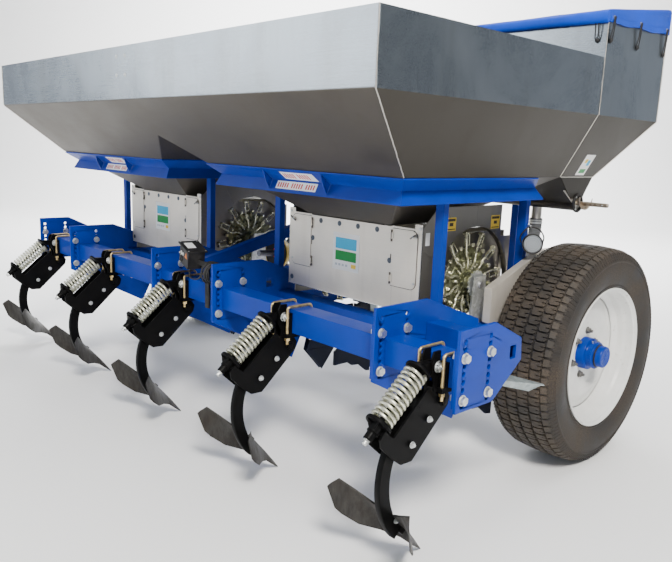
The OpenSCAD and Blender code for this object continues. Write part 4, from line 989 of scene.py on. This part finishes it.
def pick_wheels(s, side):
    """Two wheels of twelve cranked arms with spring-loaded frames, on one shaft."""
    piece = Piece(f"picking_wheels_{side}")
    y0, z0 = PICK["y"], PICK["z"]
    for hand in (-1, 1):

        def spot(x, r, a, side_step=0.0):
            y = y0 + r * math.cos(a) - side_step * math.sin(a)
            z = z0 + r * math.sin(a) + side_step * math.cos(a)
            return at(s * UNIT_X + hand * (388 + x), y, z)

        axis = Vector((hand, 0, 0))
        centre = spot(0, 0, 0)
        piece.turned(centre, axis,
                     [(15.2, -8), (149, -8), (151, -6.5), (151, -3), (149, -2), (118, -2), (115, 0.5),
                      (96, 0.5), (93, -2), (66, -2), (62, 1), (60, 9), (40, 11), (36, 12), (34, 15), (34, 31),
                      (31, 34), (15.2, 34)], PICK_ZINC, 72)
        for k in range(12):
            a = math.radians(30 * k + 7 * hand)
            b = a + math.radians(15)
            crank = [spot(x, r, a, t) for x, r, t in
                     ((4, 58, 0), (7, 80, 0), (9, 98, 1), (11, 112, 6), (13, 126, 15), (14, 140, 18),
                      (14, 158, 18), (14, 190, 17), (13, 216, 14))]
            piece.tube(smooth(crank, 3), 4.8, PICK_BRIGHT, 10)
            loop = []
            for r, t, turn in ((170, -12, 225), (214, -12, 315), (214, 12, 45), (170, 12, 135)):
                for bend in (-30, 0, 30):
                    w = math.radians(turn + bend)
                    round_r = r + math.copysign(4 * abs(math.cos(w)), r - 190)
                    loop.append(spot(5, round_r, a, t + math.copysign(4 * abs(math.sin(w)), t)))
            piece.tube(loop, 2.6, PICK_BRIGHT, 8, closed=True)
            piece.tube([spot(5, 172, a, 0), spot(6, 192, a, 0), spot(5, 212, a, 0)], 2.4, PICK_ZINC, 8)
            piece.rod(spot(-4, 224, a, 14), spot(18, 224, a, 14), 7, PICK_BRIGHT, 16)
            piece.rod(spot(-4, 222, a, -10), spot(12, 222, a, -10), 5, PICK_ZINC, 14)
            piece.tube([spot(16, 224, a, 14), spot(16, 228, a, 2), spot(10, 222, a, -10)], 3, PICK_BRIGHT, 8)
            piece.turned(spot(-3, 222, a, -10), -axis, [(2.4, 0), (2.2, 5), (0.3, 10)], PICK_ZINC, 10)
            piece.hexagon(spot(-2, 134, a, 0), axis, 7.5, 6, PICK_BRIGHT, 10, 4)
            piece.hexagon(spot(0.5, 105, b, 0), axis, 6.5, 5, PICK_ZINC, 9, 5)
            plate = [spot(x, r, b, t) for x in (-2, 2) for r,
                     t in ((120, -9), (120, 9), (160, 12), (160, -12))]
            piece.add(plate, SLAB, PICK_ZINC)
            piece.turned(spot(3, 166, b, 0), axis, [(8.5, -5), (9, -4), (9, 6), (6, 8), (3, 8)], PICK_BRIGHT,
                         18)
            piece.hexagon(spot(10.5, 50, b, 0), axis, 6, 5, PICK_ZINC)
            coil = []
            for m in range(40):
                w = 2 * math.pi * m / 9
                coil.append(spot(4 + 5.2 * math.cos(w), 74 + m * 0.62, b, 5.2 * math.sin(w)))
            piece.tube(coil, 1.3, PICK_BRIGHT, 6)
        piece.hexagon(spot(34, 0, 0), axis, 13, 9, ZINC)
    piece.rod(at(s * (UNIT_X - 502), y0, z0), at(s * (UNIT_X + 470), y0, z0), 15, AXLE, 28, 1.5)
    teeth = []
    for k in range(17):
        a = 2 * math.pi * k / 17
        teeth += [(y0 + r * math.cos(a + w), z0 + r * math.sin(a + w)) for w,
                  r in ((-0.12, 55), (-0.045, 60), (0.045, 60), (0.12, 55))]
    ends = sorted((s * (UNIT_X + 436), s * (UNIT_X + 444)))
    piece.prism(teeth, ends[0], ends[1], ZINC)
    piece.done(f"picks_{side}", [f"pick_wheels_{side}"], "pick_zinc", crease=35)


pick_wheels(-1, "left")
pick_wheels(1, "right")


# ---------------------------------------------------------------- tarpaulin
HEM_BACK, HEM_FRONT = (1053, 1917), (1638, 1940)
STRAP_PITCH = 245


def hem(y):
    """Height of the cover's side edge, which each strap pulls down a little."""
    share = min(1, max(0, (y - HEM_BACK[0]) / (HEM_FRONT[0] - HEM_BACK[0])))
    pull = 3.5 * math.cos(2 * math.pi * (y - STRAP_Y[0]) / STRAP_PITCH)
    return HEM_BACK[1] + (HEM_FRONT[1] - HEM_BACK[1]) * share + pull


def eyelet_z(y):
    """Height of a side eyelet."""
    return 1938 + (y - STRAP_Y[0]) * 0.035


def fold(x, y, z):
    """Wrinkles that run mostly across the slope and gather at the straps."""
    return (noise.noise(Vector((x * 0.0035, y * 0.012, z * 0.012))) * 5.5
            + noise.noise(Vector((x * 0.016, y * 0.02, 3.0))) * 2.2)


def tarpaulin():
    """The fertiliser cover: a fitted sheet with sewn corners, and its rear edge rolled on itself."""
    half = HOPPER + 7
    nx, ny, deep = 132, 26, 6  # faces across, up the slope, and down each side
    spine = [(1047, 1963), (1053, 1968), (1061, 1973)]
    spine += [(1061 + (1631 - 1061) * k / ny, 1973 + (2057 - 1973) * k / ny) for k in range(1, ny + 1)]
    spine += [(1636, 2054), (1638.5, 2046)]
    spine += [(1638.5, z) for z in (2025, 2003, 1981, 1960, HEM_FRONT[1])]
    top = len(spine) - 6
    points, faces, index = [], [], {}

    def put(key, p):
        if key not in index:
            index[key] = len(points)
            points.append(p)
        return index[key]

    def spot(i, j):
        x = -half + 2 * half * i / nx
        y, z = spine[j]
        edge = min(1, (half - abs(x)) / 60) * min(1, j / 3)
        w = fold(x, y, z)
        if j < top:
            sag = 5 * math.sin(math.pi * j / top) * edge
            return at(x, y, z - 3 + w * edge * 0.8 - sag)
        scallop = 4 * math.cos(2 * math.pi * x / 600) if j == len(spine) - 1 else 0
        return at(x, y + abs(w) * 0.35 * edge - 1.5 * edge, z + scallop * edge)

    for j in range(len(spine) - 1):
        for i in range(nx):
            faces.append([put((i + a, j + b), spot(i + a, j + b)) for a,
                          b in ((0, 0), (1, 0), (1, 1), (0, 1))])
    for i, hand in ((0, -1), (nx, 1)):

        def side(j, m):
            y, z = spine[j]
            if m == 0:
                return put((i, j), spot(i, j))
            share = m / deep
            low = z + (hem(y) - z) * share
            bulge = fold(y * 1.7, low * 2, hand * 400) * 0.5 * math.sin(math.pi * min(1, share + 0.15)) - 1
            return put((i, j, m), at(hand * (half + bulge), y, low))

        for j in range(1, top):
            for m in range(deep):
                faces.append([side(j, m), side(j + 1, m), side(j + 1, m + 1), side(j, m + 1)])
    mesh = bpy.data.meshes.new("tarpaulin")
    mesh.from_pydata(points, [], faces)
    bm = bmesh.new()
    bm.from_mesh(mesh)
    bmesh.ops.remove_doubles(bm, verts=bm.verts, dist=0.0008)
    bmesh.ops.recalc_face_normals(bm, faces=bm.faces)
    bm.to_mesh(mesh)
    bm.free()
    for p in mesh.polygons:
        p.use_smooth = True
    mesh.materials.append(TARP)
    sheet = bpy.data.objects.new("tarpaulin", mesh)
    bpy.context.scene.collection.objects.link(sheet)
    soft = sheet.modifiers.new("smooth", "SUBSURF")
    soft.levels = soft.render_levels = 1
    skin = sheet.modifiers.new("thickness", "SOLIDIFY")
    skin.thickness = 0.0012
    skin.offset = -1
    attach(sheet, "frame")
    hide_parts("tarp")

    roll = Piece("tarpaulin_roll")
    steps, sides = 200, 16
    surface = []
    for k in range(steps + 1):
        x = -half + 2 * half * k / steps
        tight = 0.93 + 0.12 * math.cos(2 * math.pi * (x - 1535) / 1023) * 0.4
        for m in range(sides):
            a = 2 * math.pi * m / sides
            ripple = noise.noise(Vector((x * 0.006, math.cos(a) * 0.7, math.sin(a) * 0.7))) * 2.4
            ripple += noise.noise(Vector((x * 0.03, math.cos(a + x * 0.004) * 1.6, math.sin(a) * 1.6))) * 1.0
            r = tight + ripple / 24
            surface.append(at(x, 1044 + 13 * r * math.cos(a), 1939 + 25 * r * math.sin(a)))
    ends = [tuple(range(sides)), tuple(steps * sides + m for m in range(sides - 1, -1, -1))]
    roll.add(surface, joined(steps + 1, sides) + ends, TARP)
    roll = roll.done("frame", slot="tarp_fabric", crease=60)

    hems = Piece("tarpaulin_hems")
    eyes = Piece("tarpaulin_eyelets")
    for hand in (-1, 1):
        path = [1058 + 576 * k / 30 for k in range(31)]
        strip = [at(hand * (half + out), y, hem(y) + lift) for y in path
                 for out, lift in ((0.8, -1), (2.4, 0), (2.4, 21), (0.8, 22))]
        hems.add(strip, joined(len(path), 4) + [(0, 3, 2, 1), (120, 121, 122, 123)], TARP)
        for y in STRAP_Y:
            eyes.turned(at(hand * (half + 2), y, eyelet_z(y)), (hand, 0, 0), EYELET, ZINC, 24)
    for x in [-x for x in reversed(STRAP_X)] + list(STRAP_X):
        eyes.turned(at(x, 1639.5, 1952), (0, 1, 0), EYELET, ZINC, 24)
    hems = hems.done("frame", slot="tarp_fabric", crease=40)
    eyes = eyes.done("frame", slot="zinc")


def straps():
    """Rubber loops from the eyelets down to ball knobs."""
    piece = Piece("rubber_straps")

    def strap(foot, eye, out):
        wide = Vector((0, 1, 0)) if abs(out.x) > 0.5 else X_AXIS
        down = (foot - eye).normalized()
        left = [eye + out * 0.004,
                eye + wide * 0.0035 - down * 0.003 + out * 0.004,
                eye + wide * 0.006 + down * 0.012 + out * 0.003,
                eye.lerp(foot, 0.5) + wide * 0.0065 + out * 0.005,
                foot + wide * 0.0085 - down * 0.006 + out * 0.004,
                foot + down * 0.0105 + out * 0.004]
        right = [p - wide * 2 * (p - eye).dot(wide) for p in left]
        loop = smooth(left, 4)[:-1] + list(reversed(smooth(right, 4)))[:-1]
        piece.tube(loop, 2.6, STRAP, 8, closed=True)
        knob = [(3, 0), (3, 7), (6, 8.5), (8, 11), (9, 14), (7.5, 17.5), (4, 19), (0, 19.3)]
        piece.turned(foot - out * 0.008, out, knob, STRAP, 20)

    for hand in (-1, 1):
        x = hand * (HOPPER + 0.5)
        for y in STRAP_Y:
            strap(at(x, y, 1850), at(hand * (HOPPER + 11), y, eyelet_z(y)), Vector((hand, 0, 0)))
        strap(at(hand * 1535, FERT["back"] - 0.5, 1850), at(hand * 1535, FERT["back"] - 17, 1926),
              Vector((0, -1, 0)))
        for x in STRAP_X:
            strap(at(hand * x, FERT["front"] + 0.5, 1850), at(hand * x, FERT["front"] + 11, 1952),
                  Vector((0, 1, 0)))
    piece.done("frame", ["tarp_straps"], "strap_rubber", crease=50)


tarpaulin()
straps()


# ---------------------------------------------------------------- picking boxes and their labels
def box_panels(s):
    """Plugs, catches, hinge lines, bolts, painted shadow round the doors and painted highlights along the
    edges, on the rear panel of one picking box.
    """
    piece = Piece("box_details_right" if s > 0 else "box_details_left")
    mid = s * UNIT_X
    face = BOX_Y - 0.2
    for x, z in ((-192.5, 1041), (-67.5, 1041), (50.5, 1041), (166.5, 1041), (-246, 955), (-392.5, 747),
                 (246, 918)):
        piece.turned(at(mid + x, face, z), (0, -1, 0), [(12, -0.5), (12, 0.7), (10, 1.5), (0, 1.9)], PLUG, 28)
    for hand in (-1, 1):
        # Painted shadow: a dark line round the free side of each door, where its gap is
        x0, x1 = sorted((mid + hand * 257.5, mid + hand * 396.5))
        if hand > 0:
            path = [(x0, 813)] + arc((x1 - 30, 843), 30, 270, 360, 8) + arc((x1 - 30, 1027), 30, 0, 90,
                                                                            8) + [(x0, 1057)]
        else:
            path = [(x1, 1057)] + arc((x0 + 30, 1027), 30, 90, 180, 8) + arc((x0 + 30, 843), 30, 180, 270,
                                                                             8) + [(x1, 813)]
        piece.tube([at(x, face - 0.3, z) for x, z in path], 1.1, GAP_PAINTED_SHADOW, 6)
        # Studs, the turned catch at the free edge, and the hinge's three knuckles, the knuckles as dark
        # blocks of painted shadow
        for z in (1031, 842):
            a = at(mid + hand * 388, face - 3.4, z)
            piece.turned(a, (0, -1, 0), [(5.5, 0), (5.5, 2), (4, 3.4), (0, 3.8)], ZINC, 16)
        turn = at(mid + hand * 377, face - 11.2, 1033)
        piece.rod(turn + Vector((hand * -0.014, 0, -0.008)), turn + Vector((hand * 0.020, 0, 0.012)), 3.4,
                  DARK_STEEL, 12)
        piece.turned(turn + Vector((0, 0.004, 0)), (0, -1, 0), [(6, 0), (6, 5), (4.5, 6.5), (0, 6.8)], ZINC,
                     16)
        for z in (850, 935, 1018):
            piece.block((mid + hand * 252.5 - 2.2, face - 1.2, z - 12),
                        (mid + hand * 252.5 + 2.2, face, z + 12), GAP_PAINTED_SHADOW)
    # Painted highlight: bright stainless beads along the panel's edges
    for x in (-416.4, 416.4):
        piece.tube([at(mid + x, face - 0.2, 714), at(mid + x, face - 0.2, 1084)], 1.3, STEEL_EDGE_HIGHLIGHT, 8)
    piece.tube([at(mid - 415, face, 713.2), at(mid + 415, face, 713.2)], 1.5, STEEL_EDGE_HIGHLIGHT, 8)
    # Bolts at the corners
    for x in (-405, 405):
        for z in (728, 1068):
            piece.turned(at(mid + x, face, z), (0, -1, 0), [(6.5, -0.5), (6.5, 1.5), (4.5, 3), (0, 3.4)],
                         ZINC, 16)
    piece.done("frame", slot="stainless", bevel=0.3)


def sticker(piece, corners, mat, lift=0.7):
    """A label 0.5 mm thick through four corners in metres, its face lift mm along its own normal."""
    n = (corners[1] - corners[0]).cross(corners[3] - corners[0]).normalized()
    points = [c + n * (lift + d) / 1000 for d in (-0.5, 0) for c in corners]
    piece.add(points, SLAB, mat)


def labels():
    """Generic labels: coloured blocks and bars, with no lettering."""
    piece = Piece("labels")

    def panel(x0, x1, z0, z1, mat, lift):
        corners = [at(x, BOX_Y - 0.2, z) for x, z in ((x0, z0), (x1, z0), (x1, z1), (x0, z1))]
        sticker(piece, corners, mat, lift)

    def end_label(hand, corners, mat, lift):
        """A label that faces outward on a surface at the machine's right or left end."""
        sticker(piece, corners if hand > 0 else [corners[k] for k in (1, 0, 3, 2)], mat, lift)

    for mid in (UNIT_X - 20, -UNIT_X - 20):
        x0, x1, z0, z1 = mid - 84, mid + 86, 832, 1001
        panel(x0, x1, z0, z1, WHITE, 0.8)
        panel(x0 + 18, x1 - 18, z1 - 72, z1 - 22, CYAN, 1.1)
        panel(x0 + 18, x1 - 18, z0 + 44, z0 + 88, GREEN, 1.1)
        panel(x1 - 48, x1 - 18, z0 + 16, z0 + 34, SUN, 1.1)
        for k in range(4):
            panel(x0 + 18 + 22 * k, x0 + 32 + 22 * k, z0 + 19, z0 + 29, HAZE, 1.1)
    # Striped plates on the upper and lower faces of the cradles' rear ledges
    for x0 in (-880, 736):
        for a, b, start, wide in (((32, 1272.1), (80, 1238.6), x0, 205),
                                  ((84.5, 1232), (67, 1196), x0 - 62, 255)):
            n = Vector((0, b[1] - a[1], -(b[0] - a[0]))).normalized()
            if n.y > 0:
                n = -n

            def plate(xa, xb, sa, sb, mat, lift):
                pts = []
                for h in (0.2, lift):
                    for x, share in ((xa, sb), (xb, sb), (xb, sa), (xa, sa)):
                        y, z = a[0] + (b[0] - a[0]) * share, a[1] + (b[1] - a[1]) * share
                        pts.append(at(x, y, z) + n * h / 1000)
                piece.add(pts, SLAB, mat)

            plate(start, start + wide, 0.06, 0.94, WHITE, 0.8)
            for k in range(int(wide / 15) - 1):
                if k % 6 != 5:
                    plate(start + 10 + 15 * k, start + 18 + 15 * k, 0.24, 0.78, RED, 1.1)
    for s in (-1, 1):
        # Warning plates on the outer side covers: yellow with dark bars
        x = s * (UNIT_X + 417.5)
        for y, z, w, h in ((877, 1076, 33, 30), (560, 1080, 30, 28)):
            for ya, yb, za, zb, mat, lift in ((-w, w, -h, h, SUN, 0.7),
                                              (-w + 5, w - 5, h - 16, h - 5, DARK_INK, 1.0),
                                              (-12, 12, -8, 6, DARK_INK, 1.0),
                                              (-w + 6, w - 6, -h + 5, -h + 9, DARK_INK, 1.0)):
                end_label(s, [at(x, y + dy, z + dz) for dy, dz in ((ya, za), (yb, za), (yb, zb), (ya, zb))],
                          mat, lift)
        end_label(s, [at(x, y, z) for y, z in ((398, 1000), (424, 1000), (424, 1052), (398, 1052))], WHITE,
                  0.7)
        # Small label on the end slope of the fertiliser hopper
        for ya, yb, za, zb, mat, lift in ((1172, 1252, 1294, 1386, WHITE, 0.8),
                                          (1188, 1210, 1350, 1366, SUN, 1.1),
                                          (1214, 1238, 1338, 1362, CYAN, 1.1),
                                          (1188, 1238, 1304, 1322, GREEN, 1.1)):
            corners = []
            for y, z in ((ya, za), (yb, za), (yb, zb), (ya, zb)):
                share = (z - FERT["mid"]) / (FERT["knuckle"] - FERT["mid"])
                corners.append(at(s * (FERT["half"] + (HOPPER - FERT["half"]) * share), y, z))
            end_label(s, corners, mat, lift)
    piece.done("frame")


box_panels(-1)
box_panels(1)
labels()


# ---------------------------------------------------------------- lamp, scrapers and drive cone
def small_parts():
    """The work lamp, the wheels' scrapers and the cone over the drive shaft."""
    lamp = Piece("work_lamp")
    base = at(1347, 1010, 985)
    a = math.radians(-50)
    out = Vector((math.cos(a), math.sin(a), 0))
    face = base + out * 0.032
    lamp.turned(base, out, [(30, -14), (38, -6), (42.6, -1), (43, 20), (46, 24), (46, 33), (43, 35),
                            (40, 33.5)], PLASTIC, 48)
    lamp.turned(face, out, [(40.5, 0), (38, 2.4), (20, 4.4), (0, 5)], LAMP_GLASS, 48)
    for r in (37, 29, 21, 13, 5):
        lamp.turned(face + out * 0.0045, out, [(r, 0), (r - 1, 0.9), (r - 2.4, 0)], LAMP_RING, 40,
                    closed=True)
    # Bracket over the lamp, and the stem that holds it
    u = Vector((-out.y, out.x, 0))
    pivot = base + Vector((-0.012, 0.004, 0.072))
    half = [base + u * 0.047, base + u * 0.051 + UP * 0.03, base + u * 0.03 + UP * 0.062]
    other = [base - u * 0.03 + UP * 0.062, base - u * 0.051 + UP * 0.03, base - u * 0.047]
    lamp.tube(smooth(half + [pivot] + other), 3.4, PLASTIC, 10)
    lamp.rod(pivot, base + Vector((-0.046, 0.02, 0.078)), 6, ZINC, 14)
    for k in range(6):
        fin = base - out * (0.006 + 0.005 * k)
        lamp.turned(fin, out, [(20, 0), (36 - 2 * k, 0.3), (36 - 2 * k, 2), (20, 2.3)], PLASTIC, 40)
    lamp.done("frame", slot="black_plastic")

    scraper = Piece("wheel_scrapers")
    for s in (-1, 1):
        ridge = [at(s * 1672, 300, 612), at(s * 1668, 655, 486)]
        low = [at(s * 1622, 300, 560), at(s * 1640, 600, 462)]
        high = [at(s * 1728, 300, 590), at(s * 1700, 610, 500)]
        thick = Vector((0, 0, -0.004))
        for edge in (low, high):
            pts = [ridge[0], ridge[1], edge[1], edge[0]]
            pts += [p + thick for p in pts]
            scraper.add(pts, [(0, 1, 2, 3), (7, 6, 5, 4), (0, 4, 5, 1), (1, 5, 6, 2), (2, 6, 7, 3),
                              (3, 7, 4, 0)], GALVANISED)
        scraper.block((s * 1675 - 16, 262, 600), (s * 1675 + 16, 318, 664), GALVANISED)
    scraper.done("frame", slot="zinc", bevel=0.8)

    cone = Piece("drive_cone")
    start = at(-40, 640, 778)
    axis = Vector((0, 1, -0.05)).normalized()
    cone.turned(start, axis, [(95, 0), (97, 4), (60, 70), (52, 78), (52, 210), (48, 214), (46, 210), (46, 76),
                              (56, 66), (91, 3)], GUARD_YELLOW, 48, closed=True)
    cone.turned(start + axis * 0.02, axis, [(16, -22), (30, -20), (32, 0), (32, 40), (20, 44), (20, 190)],
                RED, 32)
    cone.turned(start - axis * 0.001, axis, [(90, 0), (70, 14), (34, 22), (34, 24), (70, 17), (92, 3)],
                PLASTIC, 48, closed=True)
    cone.rod(start - axis * 0.12, start + axis * 0.24, 17, AXLE, 24)
    cone.done("frame", slot="black_plastic")


small_parts()


def hoses():
    """Corrugated hoses from the fertiliser spouts down to the tubes on the openers."""
    back = 265  # how far each hose leads back, in two equal bends
    bend, sides, steps = 250, 24, 68
    swing = math.acos(1 - back / (2 * bend))
    for n, x in enumerate((-1215, -405, 405, 1215), 1):
        path = [at(x, 1250, 1076 - 4 * k) for k in range(9)]
        for k in range(1, steps + 1):
            a = swing * k / steps
            path.append(at(x, 1250 - bend * (1 - math.cos(a)), 1044 - bend * math.sin(a)))
        for k in range(1, steps + 1):
            a = swing - swing * k / steps
            drop = bend * (2 * math.sin(swing) - math.sin(a))
            path.append(at(x, 1250 - back + bend * (1 - math.cos(a)), 1044 - drop))
        low = path[-1]
        path += [low - Vector((0, 0, 0.004 * k)) for k in range(1, 7)]
        piece = Piece(f"fertiliser_hose_{n}")
        piece.tube(path, 30, HOSE, sides)
        verts = list(piece.bm.verts)
        for k, centre in enumerate(path):
            share = 1.035 if k % 2 else 0.935
            for v in verts[k * sides:(k + 1) * sides]:
                v.co = centre + (v.co - centre) * share
        hose = piece.done("frame", slot="strap_rubber", crease=60)
        clips = Piece(f"hose_clips_{n}")
        foot = low - UP * 0.036
        band = [(30.6, 0), (31.8, 0), (31.8, 8), (30.6, 8)]
        for start, profile, mat in (
                (at(x, 1250, 1062), band, ZINC), (at(x, 1250, 1050), band, ZINC),
                (foot, [(33, 0), (35.5, 0), (35.5, 62), (37, 64), (37, 68), (33, 68)], GALVANISED),
                (foot - UP * 0.12, [(20, 0), (22.5, 0), (35.5, 120), (33, 120)], GALVANISED)):
            clips.turned(start, UP, profile, mat, 40, closed=True)
        # A bracket in the openers' darkened enamel, painted shade
        clips.block((x - 9, 958, 548), (x + 9, 962, 600), OPENER_PAINTED_SHADE)
        made = clips.done("frame", slot="zinc", bevel=0.4)


def control_cable():
    """The control box's cable: out of a gland, coiled over the arm, and into the bar's top."""
    middle, r_mean, start_x = (7, 776), 49, 270
    lead = [(128, -13, 782), (126, -13, 770), (127, -16, 756), (136, -22, 744), (156, -30, 737),
            (185, -37, 736), (215, -42, 739), (242, -44, 745), (260, -44, 755), (268, -43, 766)]
    turns, pitch, steps = 5.5, 8.8, 24
    coil = []
    for k in range(int(turns * steps) + 1):
        t = k / steps
        a = math.pi * (1 - 2 * t)
        r = r_mean + 4 * math.sin(2.2 * t)
        coil.append((start_x + pitch * t + 2.5 * math.sin(a + 0.25 * t),
                     middle[0] + r * math.cos(a), middle[1] + r * math.sin(a)))
    tail = [(319, 58, 758), (319, 58, 742), (319, 58, 727), (319, 58, 712)]
    path = smooth([at(*q) for q in lead + coil[:1]], 3)[:-1]
    path += [at(*q) for q in coil]
    path += smooth([at(*q) for q in coil[-1:] + tail], 3)[1:]
    piece = Piece("control_cable")
    piece.tube(path, 4, PLASTIC, 12)
    cable = piece.done("frame", slot="black_plastic", crease=60)
    fittings = Piece("cable_fittings")
    down = (path[1] - path[0]).normalized()
    fittings.turned(path[0] - down * 0.004, down, [(9, 0), (9, 6), (7.5, 8), (7.5, 14), (4.4, 26)], PLASTIC,
                    20)
    grommet = [(4.4, 0), (11, 0), (11, 2.5), (8, 5), (4.4, 5)]
    fittings.turned(at(319, 58, 715), UP, grommet, STRAP, 24, closed=True)
    # Ties round the bundle
    for a in (100, 215, 320):
        w = math.radians(a)
        out = Vector((0, math.cos(w), math.sin(w)))
        centre = at(start_x + 24, *middle) + out * r_mean / 1000
        loop = []
        for k in range(24):
            b = 2 * math.pi * k / 24
            loop.append(centre + X_AXIS * 0.0305 * math.cos(b) + out * 0.0095 * math.sin(b))
        fittings.tube(loop, 0.9, STRAP, 6, closed=True)
    made = fittings.done("frame", slot="black_plastic")


def box_labels():
    """The control box's lid label, warning triangle, screws, switches, socket and seal."""
    turn = Matrix.Rotation(math.radians(-12), 4, "Z") @ Matrix.Rotation(math.radians(14), 4, "Y")

    def on_box(x, y, z):
        return at(*CONTROL_BOX) + turn @ Vector((x, y, z)) / 1000

    piece = Piece("control_box_details")
    sticker(piece, [on_box(-44, -30, 44), on_box(22, -30, 44), on_box(22, 12, 44), on_box(-44, 12, 44)],
            WHITE, 0.7)
    tri = [on_box(14, -40, -4), on_box(46, -40, -4), on_box(30, -40, 24)]
    out = turn @ Vector((0, -1, 0))
    points = [q + out * d for d in (0.0002, 0.0008) for q in tri]
    piece.add(points, [(2, 1, 0), (3, 4, 5), (0, 1, 4, 3), (1, 2, 5, 4), (2, 0, 3, 5)], WARNING)
    up = turn @ UP
    for x in (-62, 62):
        for y in (-40, 44):
            piece.turned(on_box(x, y, 44), up, [(4, 0), (4, 1.2), (2.6, 2.2), (0, 2.4)], ZINC, 16)
    # Rocker switches and a socket on the near face
    for x in (-34, -10):
        piece.turned(on_box(x, -40, 2), out, [(9, 0), (9, 2), (7.5, 3.5), (4, 3.5), (3.4, 12), (2.2, 13)],
                     ZINC, 24)
    piece.turned(on_box(-22, -40, -28), out, [(13, 0), (13, 4), (11, 6), (8.5, 6), (8.5, 2), (0, 2)], PLASTIC,
                 32)
    # Seal between the lid and the box
    seal = [on_box(*q) for q in ((-60.4, -40.4, 36.4), (60.4, -40.4, 36.4), (60.4, 44.4, 36.4),
                                 (-60.4, 44.4, 36.4))]
    loop = []
    for a, b in zip(seal, seal[1:] + seal[:1]):
        loop += [a.lerp(b, t) for t in (0.04, 0.5, 0.96)]
    piece.tube(loop, 1.4, STRAP, 6, closed=True)
    piece.done("frame", slot="black_plastic")


hoses()
control_cable()
box_labels()


# ---------------------------------------------------------------- stage and light
def stage():
    """A pale floor that curves up into a backdrop."""
    near, run, rise, bend, side = -12.0, 9.0, 7.0, 3.0, 14.0
    profile = [(near, 0.0), (run, 0.0)]
    profile += [(run + bend * math.sin(a), bend - bend * math.cos(a)) for a in
                [math.radians(90 * k / 12) for k in range(1, 13)]]
    profile.append((run + bend, rise))
    mesh = bpy.data.meshes.new("floor")
    away = Vector((-0.727, 0.686, 0)).normalized()
    wide = Vector((away.y, -away.x, 0))
    verts = [away * d + wide * w + Vector((0, 0, z)) for d, z in profile for w in (-side, side)]
    mesh.from_pydata(verts, [], [(2 * k, 2 * k + 1, 2 * k + 3, 2 * k + 2) for k in range(len(profile) - 1)])
    for poly in mesh.polygons:
        poly.use_smooth = True
    mesh.materials.append(floor_finish())
    floor = bpy.data.objects.new("floor", mesh)
    bpy.context.scene.collection.objects.link(floor)


def light(name, place, target, size, power, colour=(1, 1, 1)):
    """A rectangular lamp at place, aimed at target."""
    data = bpy.data.lights.new(name, "AREA")
    data.shape = "RECTANGLE"
    data.size, data.size_y = size
    data.energy = power
    data.color = colour
    obj = bpy.data.objects.new(name, data)
    bpy.context.scene.collection.objects.link(obj)
    obj.location = place
    obj.rotation_euler = (Vector(target) - Vector(place)).to_track_quat("-Z", "Y").to_euler()


stage()
light("key", (5.2, -3.2, 5.4), (0.2, -0.2, 0.7), (1.5, 1.5), 700, (1.0, 0.965, 0.91))
light("fill", (-4.5, -5.5, 3.2), (0, 0, 0.9), (4.5, 3.0), 150, (0.90, 0.95, 1.0))
light("top", (0, 0.3, 6.5), (0, 0, 0), (6.0, 4.0), 240)
light("backdrop", (-4.0, 4.0, 6.0), (-6.5, 7.5, 0.6), (6.0, 3.0), 2600)


def sky():
    """A studio surround: bright overhead, greyer at the horizon and dim below it."""
    world = bpy.data.worlds.new("studio")
    world.use_nodes = True
    tree = world.node_tree
    back = tree.nodes["Background"]
    place = tree.nodes.new("ShaderNodeTexCoord")
    split = tree.nodes.new("ShaderNodeSeparateXYZ")
    ramp = tree.nodes.new("ShaderNodeValToRGB")
    spread = tree.nodes.new("ShaderNodeMapRange")
    spread.inputs["From Min"].default_value = -1
    tree.links.new(place.outputs["Generated"], split.inputs[0])
    tree.links.new(split.outputs["Z"], spread.inputs["Value"])
    tree.links.new(spread.outputs["Result"], ramp.inputs["Fac"])
    # Darker round the right-hand side, so that the end walls read as dark steel
    shade = tree.nodes.new("ShaderNodeMapRange")
    for name, value in (("From Min", 0.15), ("From Max", 0.85), ("To Min", 1.0), ("To Max", 0.14)):
        shade.inputs[name].default_value = value
    scaled = tree.nodes.new("ShaderNodeVectorMath")
    scaled.operation = "SCALE"
    tree.links.new(split.outputs["X"], shade.inputs["Value"])
    tree.links.new(ramp.outputs["Color"], scaled.inputs[0])
    tree.links.new(shade.outputs["Result"], scaled.inputs["Scale"])
    tree.links.new(scaled.outputs["Vector"], back.inputs["Color"])
    ramp.color_ramp.elements[0].position = 0.40
    ramp.color_ramp.elements[0].color = (0.16, 0.15, 0.135, 1)
    ramp.color_ramp.elements[1].position = 0.95
    ramp.color_ramp.elements[1].color = (0.95, 0.98, 1.0, 1)
    for spot, colour in ((0.50, (0.62, 0.69, 0.80, 1)), (0.58, (0.72, 0.80, 0.92, 1)),
                         (0.75, (0.85, 0.90, 0.96, 1))):
        ramp.color_ramp.elements.new(spot).color = colour
    back.inputs["Strength"].default_value = 0.75
    bpy.context.scene.world = world


sky()
